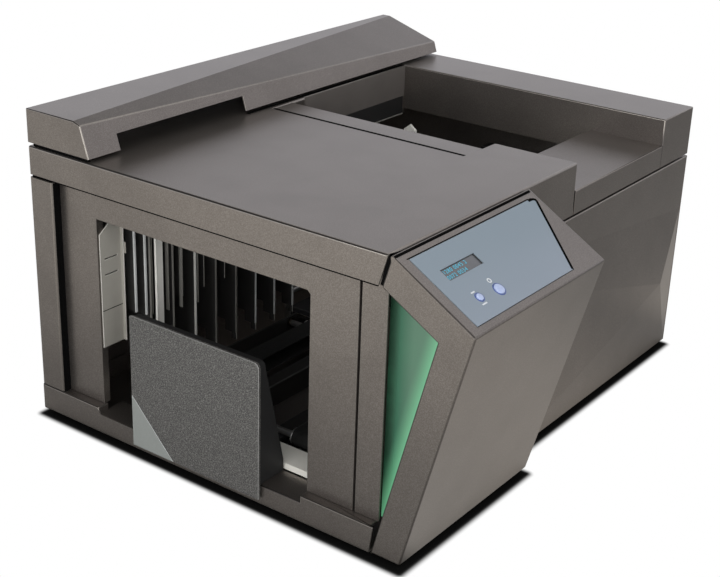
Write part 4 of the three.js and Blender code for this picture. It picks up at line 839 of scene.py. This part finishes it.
def black_strip_finish():
    finish = Finish("black_strip_finish")
    strip_cells = finish.cells(0.0011)
    shade = finish.mix(*black_strip_blacks, strip_cells)
    return finish.paint(shade, 0.9, 0.0, finish.bump(strip_cells, 0.0003, 0.6), Specular_IOR_Level=0.0)


# Black strips, laid in the gaps between covers as painted shade
black_strip = black_strip_finish()
side_zinc = zinc_plate("side_plate_zinc", (0.38, 0.362, 0.322), (0.28, 0.267, 0.237), 0.5)
folded("window_side_plate", side_zinc)
bar_stock("side_plate_tab", (97.4, 48.2, 229), (104, 49.4, 243), side_zinc)
bar_stock("side_plate_seam", (97.8, 14.6, 163), (98.1, 46.5, 163.9), black_strip)

# Separator combs
# Rails with hanging fins, punched from blackened sheet. The fins' faces that look to either
# side are painted much lighter.
sides = ("left", "right")
comb_rail_foot = 0.2995
bloom_size, soot_size = 0.008, 0.0012
comb_dark, comb_pale, comb_side_pale = (0.022, 0.021, 0.02), (0.048, 0.046, 0.044), (0.62, 0.6, 0.55)


def comb_steel():
    finish = Finish("comb_black")
    bloom = finish.grain(bloom_size, 3.0)
    fine = finish.grain(soot_size)
    shade = finish.mix(comb_dark, comb_pale, bloom * 0.6 + fine * 0.3)
    side, _, _ = finish.facing()
    _, _, up = finish.split(finish.place())
    # Faces that look to either side, below the rail, are painted lighter
    side_faces = (abs(side) > 0.9) * (up < comb_rail_foot)
    shade = finish.mix(shade, comb_side_pale, side_faces * (0.45 + fine * 0.9).least(1))
    return finish.paint(shade, 0.45 + (bloom - 0.5) * 0.3, 0.2, finish.bump(fine, 0.00005, 0.3))


comb_black = comb_steel()
for side in sides:
    folded(side + "_separator_comb", comb_black, bend=0, cut=0)

# Two blades before the left comb and three stubs beside it, each given by its inner edge,
# its front and its foot. They end under the rail.
bright_steel = zinc_plate("bright_steel", (0.66, 0.67, 0.66), (0.52, 0.53, 0.52), 0.4)
worn_steel = zinc_plate("worn_steel", (0.3, 0.29, 0.265), (0.16, 0.155, 0.14), 0.45)
white_lip = zinc_plate("pale_lip_steel", (0.95, 0.935, 0.88), (0.88, 0.865, 0.81), 0.4)
comb_top = 299.8
for name, inner, y, foot in (("end", 107.8, 58.6, 150), ("second", 111, 72.4, 143)):
    low, high = (92, y + 0.8, foot), (inner - 1.8, y + 2, comb_top)
    bar_stock(f"comb_{name}_blade", low, high, comb_black)
    low, high = (inner - 1.9, y, foot), (inner, y + 3, comb_top)
    bar_stock(f"comb_{name}_lip", low, high, bright_steel)
for i, (inner, y, foot) in enumerate([(106, 111.6, 136), (106, 135.2, 132), (108.4, 164, 129)]):
    low, high = (inner, y, foot), (111, y + 1, comb_top)
    bar_stock(f"comb_stub_{i + 1}", low, high, worn_steel)

# A lip on each fin of the comb: the third is wide and white, the last ones are bright
first_fin, fin_pitch, fin_count = 80, 39, 8
white_fin, last_worn_fin = 2, 4
lip_in, lip_width, white_lip_width = 0.4, 2.6, 3.4
for i in range(fin_count):
    y = first_fin + i * fin_pitch - lip_in
    lip_finish = bright_steel if i > last_worn_fin else worn_steel
    high = (111.1, y + lip_width, comb_top)
    if i == white_fin:
        lip_finish, high = white_lip, (111.1, y + white_lip_width, comb_top)
    bar_stock(f"comb_lip_{i + 1}", (110.1, y, 61), high, lip_finish)

# White guide strip and pusher handle
# Slippery white acetal, milled to shape, with softly broken edges. The strip stands at the
# left comb beside a backing of dull steel, and the handle is screwed to the pusher.
acetal_whites, acetal_soiled = ((0.9, 0.885, 0.83), (0.82, 0.805, 0.75)), (0.6, 0.58, 0.52)
strip_bend, handle_bend = 0.0004, 0.0008


def acetal():
    finish = Finish("white_acetal")
    cloud = finish.grain(0.01, 3.0)
    soil = finish.grain(0.03, 4.0)
    shade = finish.mix(*acetal_whites, cloud)
    shade = finish.mix(shade, acetal_soiled, (soil - 0.55).most(0))
    return finish.paint(shade, 0.38 + (cloud - 0.5) * 0.15, 0.0, finish.bump(cloud, 0.00006, 0.2))


white_plastic = acetal()
folded("white_guide_strip", white_plastic, strip_bend, fine_ease)
folded("pusher_handle", white_plastic, handle_bend, fine_ease)
dull_steel = zinc_plate("dull_steel", (0.13, 0.124, 0.108), (0.075, 0.072, 0.063), 0.5)
bar_stock("guide_strip_backing", (103, 84, 140), (111.1, 85, comb_top), dull_steel)

# Output stop
# Front plate in grained black plastic with a plain grey corner, on a moulded black body
# with tapered gussets that rides on two flat bars.
grain_hollow, grain_peak = (0.017, 0.0165, 0.0155), (0.185, 0.18, 0.17)
grain_rubbed = (0.3, 0.3, 0.29)
corner_greys, corner_rubbed = ((0.232, 0.247, 0.234), (0.27, 0.286, 0.272)), (0.5, 0.51, 0.5)
moulded_rubbed = (0.06, 0.06, 0.06)
plate_bend, plate_cut, support_bend = 0.0009, 0.0004, 0.0006


def grained_plastic():
    finish = Finish("grained_plastic")
    hide = finish.cells(0.0012, "SMOOTH_F1")
    fine = finish.grain(0.0009)
    height = hide * 0.8 + fine * 0.5
    shade = finish.mix(grain_hollow, grain_peak, (height - 0.42).most(0) * 2.2)
    shade = finish.mix(shade, grain_rubbed, finish.mark("edge") * 0.8)
    return finish.paint(shade, 0.5 + (fine - 0.5) * 0.3, 0.0, finish.bump(height, 0.0002, 0.5))


def satin_corner():
    finish = Finish("corner_satin")
    fine = finish.grain(0.0015)
    shade = finish.mix(*corner_greys, fine)
    shade = finish.mix(shade, corner_rubbed, finish.mark("edge") * 0.8)
    return finish.paint(shade, 0.45, 0.0, finish.bump(fine, 0.00003, 0.2))


def moulded_black(name, colour):
    finish = Finish(name)
    spark = finish.grain(0.0012)
    shade = finish.mix(colour, toned(colour, 2.0), spark)
    shade = finish.mix(shade, moulded_rubbed, finish.mark("edge") * 0.7)
    skin = finish.bump(spark, 0.00006, 0.4)
    return finish.paint(shade, 0.48 + (spark - 0.5) * 0.2, 0.0, skin, Specular_IOR_Level=0.22)


black_plastic = moulded_black("moulded_black", (0.012, 0.0118, 0.0118))
folded("stop_front_plate", grained_plastic(), plate_bend, plate_cut)
folded("stop_corner_panel", satin_corner(), bend=0)
folded("stop_support", black_plastic, support_bend)

# Output floor
# Cold-rolled plate behind the stop, laid over the front lip of the tray, with slots
# for the bars that carry the stop. Its near-white colour is a painted reflection of the light it
# catches.
floor_plate = zinc_plate("floor_plate", (0.96, 0.94, 0.87), (0.84, 0.82, 0.75), 0.35)
folded("output_floor", floor_plate, bend=0, cut=fine_ease)

# Transport
# Side frames in blackened sheet with bronze bearings, ground steel shafts with turned
# pulleys, and two ribbed rubber belts.
ends = ("front", "rear")
corner_names = [f"{end}_{side}" for end in ends for side in sides]
turning = (0.2, 1, 1)
crease_ease, crease_degrees, round_degrees = 0.0003, 60, 32
rubber_blacks = (0.006, 0.006, 0.006), (0.018, 0.018, 0.017)


def blackened(name, colour, edge):
    finish = Finish(name)
    bloom = finish.grain(bloom_size, 3.0)
    fine = finish.grain(soot_size)
    shade = finish.mix(colour, toned(colour, 2.2), bloom * 0.6 + fine * 0.3)
    shade = finish.mix(shade, edge, finish.mark("edge") * (0.5 + fine * 0.6))
    skin = finish.bump(fine, 0.00005, 0.3)
    return finish.paint(shade, 0.5 + (bloom - 0.5) * 0.3, 0.0, skin, Specular_IOR_Level=0.25)


def ground_steel(name, colour):
    finish = Finish(name)
    marks = finish.grain(0.0012, 2.0, turning)
    shade = finish.mix(colour, toned(colour, 0.75), marks)
    return finish.paint(shade, 0.24 + marks * 0.18, 0.95, finish.bump(marks, 0.00003, 0.3))


def belt_rubber():
    finish = Finish("belt_rubber")
    dust = finish.grain(0.004, 3.0)
    shade = finish.mix(*rubber_blacks, dust)
    skin = finish.bump(finish.grain(0.0012), 0.0001, 0.5)
    return finish.paint(shade, 0.8, 0.0, skin, Specular_IOR_Level=0.2)


def rounded(node, finish):
    """A turned or moulded piece with its round faces shaded as one."""
    work = merged(node)
    layer = work.faces.layers.float.new("edge")
    ease(work, corners(work, crease_degrees), crease_ease, 1, layer)
    for face in work.faces:
        face.smooth = True
    piece = put(node + "_skin", work, finish, body_of(node), node)
    piece.data.set_sharp_from_angle(angle=math.radians(round_degrees))


frame_black = blackened("frame_black", (0.012, 0.0115, 0.011), (0.045, 0.044, 0.041))
steel = ground_steel("ground_steel", (0.55, 0.55, 0.54))
bronze = ground_steel("bearing_bronze", (0.05, 0.04, 0.028))
rubber = belt_rubber()
for kind in ("transport_frame", "slide_guide"):
    for side in sides:
        folded(f"{side}_{kind}", frame_black, cut=fine_ease)
for corner in corner_names:
    recoat(corner + "_bearing", bronze)
for end in ends:
    rounded(end + "_belt_shaft", steel)
for side in sides:
    rounded(side + "_transport_belt", rubber)

# Heater and pusher
# Aluminium plate under a black non-stick coat, on an insulating pad in a steel tray. The
# pusher is a folded sheet that slides over it on two ground rods.
pan_black, pan_flake, pan_worn = (0.009, 0.009, 0.01), (0.026, 0.026, 0.027), (0.035, 0.033, 0.03)
pan_edge = (0.07, 0.07, 0.07)
felt_creams = (0.62, 0.6, 0.5), (0.45, 0.43, 0.35)
heater_bend = 0.0008


def non_stick():
    finish = Finish("non_stick_coat")
    speck = finish.cells(0.0016)
    wear = finish.grain(0.03, 4.0, (0.3, 1, 1))
    shade = finish.mix(pan_black, pan_flake, (0.2 - speck).most(0) * 4)
    shade = finish.mix(shade, pan_worn, (wear - 0.55).most(0) * 1.5)
    shade = finish.mix(shade, pan_edge, finish.mark("edge") * 0.5)
    return finish.paint(shade, 0.35 + wear * 0.2, 0.0, finish.bump(speck, 0.00005, 0.3))


def glass_felt():
    finish = Finish("glass_felt")
    fibres = finish.grain(0.002, 4.0, (1, 0.2, 1))
    skin = finish.bump(fibres, 0.0004, 0.7)
    return finish.paint(finish.mix(*felt_creams, fibres), 0.9, 0.0, skin)


folded("heater_plate", non_stick(), heater_bend, cut=0)
recoat("heater_pad", glass_felt())
folded("heater_tray", frame_black, cut=fine_ease)
for side in sides:
    rounded(side + "_pusher_rail", steel)
folded("hopper_pusher", frame_black, cut=fine_ease)

# Drive and supply
# Geared motor in a black can on an angle bracket, its toothed pulley and belt, and the
# power supply in a slotted zinc case.
rounded("drive_motor", moulded_black("motor_can", (0.03, 0.03, 0.032)))
rounded("motor_pulley", steel)
rounded("drive_belt", rubber)
supply_zinc = zinc_plate("supply_zinc", (0.55, 0.55, 0.53), (0.42, 0.42, 0.41), 0.42, 0.35)
folded("power_supply", supply_zinc, cut=fine_ease)

# Hinge brackets
# Zinc-plated steel brackets, each with a riveted pin for the raised cover, screwed down at
# the left edge and hidden in the gap under the cover.
plated = zinc_plate("bracket_zinc", (0.62, 0.61, 0.57), (0.45, 0.44, 0.4), 0.3, 0.9)
for end in ends:
    recoat(end + "_hinge_bracket", plated)

# Gap shade
# Black strips laid in where two covers meet: painted shade that stands in for the dark of the
# gaps, and that keeps light from coming through. On the hopper's left wall a brown band lies above
# a black band, with a steel strip below.
wall_band_browns = (0.09, 0.081, 0.074), (0.14, 0.126, 0.116)
for name, low, high in (
    ("raised_cover_foam", (18, 1.4, 351.05), (98, 6, 354.8)),
    ("front_seam_foam", (2.3, 2.3, 308), (34.7, 3.3, 321)),
    ("side_seam_foam", (2.3, 3, 308), (3.3, 90, 321)),
    ("front_skirt_edging", (37, 0.2, 314.6), (502, 1.7, 316.4)),
    ("guide_edging", (108.4, 309.2, 350.22), (399.6, 315.4, 350.6)),
    ("raised_cover_side_seal", (98.5, 270, 351.05), (103.6, 613, 351.6)),
    ("post_side_seal", (37.03, 1.8, 42), (37.5, 11.6, 312)),
    ("cover_joint_upper", (505, 379.05, 286.2), (512.95, 379.95, 316)),
    ("beam_joint", (512.6, 614.7, 286.2), (513.05, 615.3, 316)),
):
    bar_stock(name, low, high, black_strip)
bar_stock(
    "raised_cover_end_shade", (8, 1.3, 351.2), (17.9, 5, 358), black_strip, "raised_cover"
)


def wall_band_paint():
    finish = Finish("wall_band_paint")
    shade = finish.mix(*wall_band_browns, finish.grain(0.05, 3.0))
    return finish.paint(shade, 0.6, Specular_IOR_Level=0.3)


# The hopper's left wall is coloured in two bands, brown above and black below, with a steel strip
# under them
for name, low, high, finish, slot in (
    ("lining", (104.05, 356, 306.2), (104.4, 614.4, 350), wall_band_paint(), "dark_coat"),
    ("liner", (104.05, 382, 281), (104.6, 611, 306), black_plastic, "black"),
    ("bead", (104.4, 440, 279.2), (105.2, 611, 280.6), worn_steel, "pale_steel"),
):
    bar_stock("hopper_side_" + name, low, high, finish)

# Cooling fan
# Frame and rotor moulded in black glass-filled plastic. The frame is screwed behind the
# grille of the rear panel, and the rotor turns in it.
for node in ("fan_housing", "fan_rotor"):
    rounded(node, black_plastic)

# Rear sockets
# Power inlet and rocker switch, moulded in black plastic and snapped into openings of the
# rear panel.
for node in ("power_inlet", "rocker_frame", "rocker_switch"):
    folded(node, black_plastic, tight_bend)

# Feet
# Moulded black rubber buttons, one near each corner, screwed to the underside of the base
# tray.
foot_blacks = (0.01, 0.01, 0.01), (0.03, 0.029, 0.028)


def foot_rubber():
    finish = Finish("foot_rubber")
    dust = finish.grain(0.003, 3.0)
    skin = finish.bump(dust, 0.0002, 0.4)
    return finish.paint(finish.mix(*foot_blacks, dust), 0.8, 0.0, skin)


foot_black = foot_rubber()
for corner in corner_names:
    rounded(corner + "_foot", foot_black)
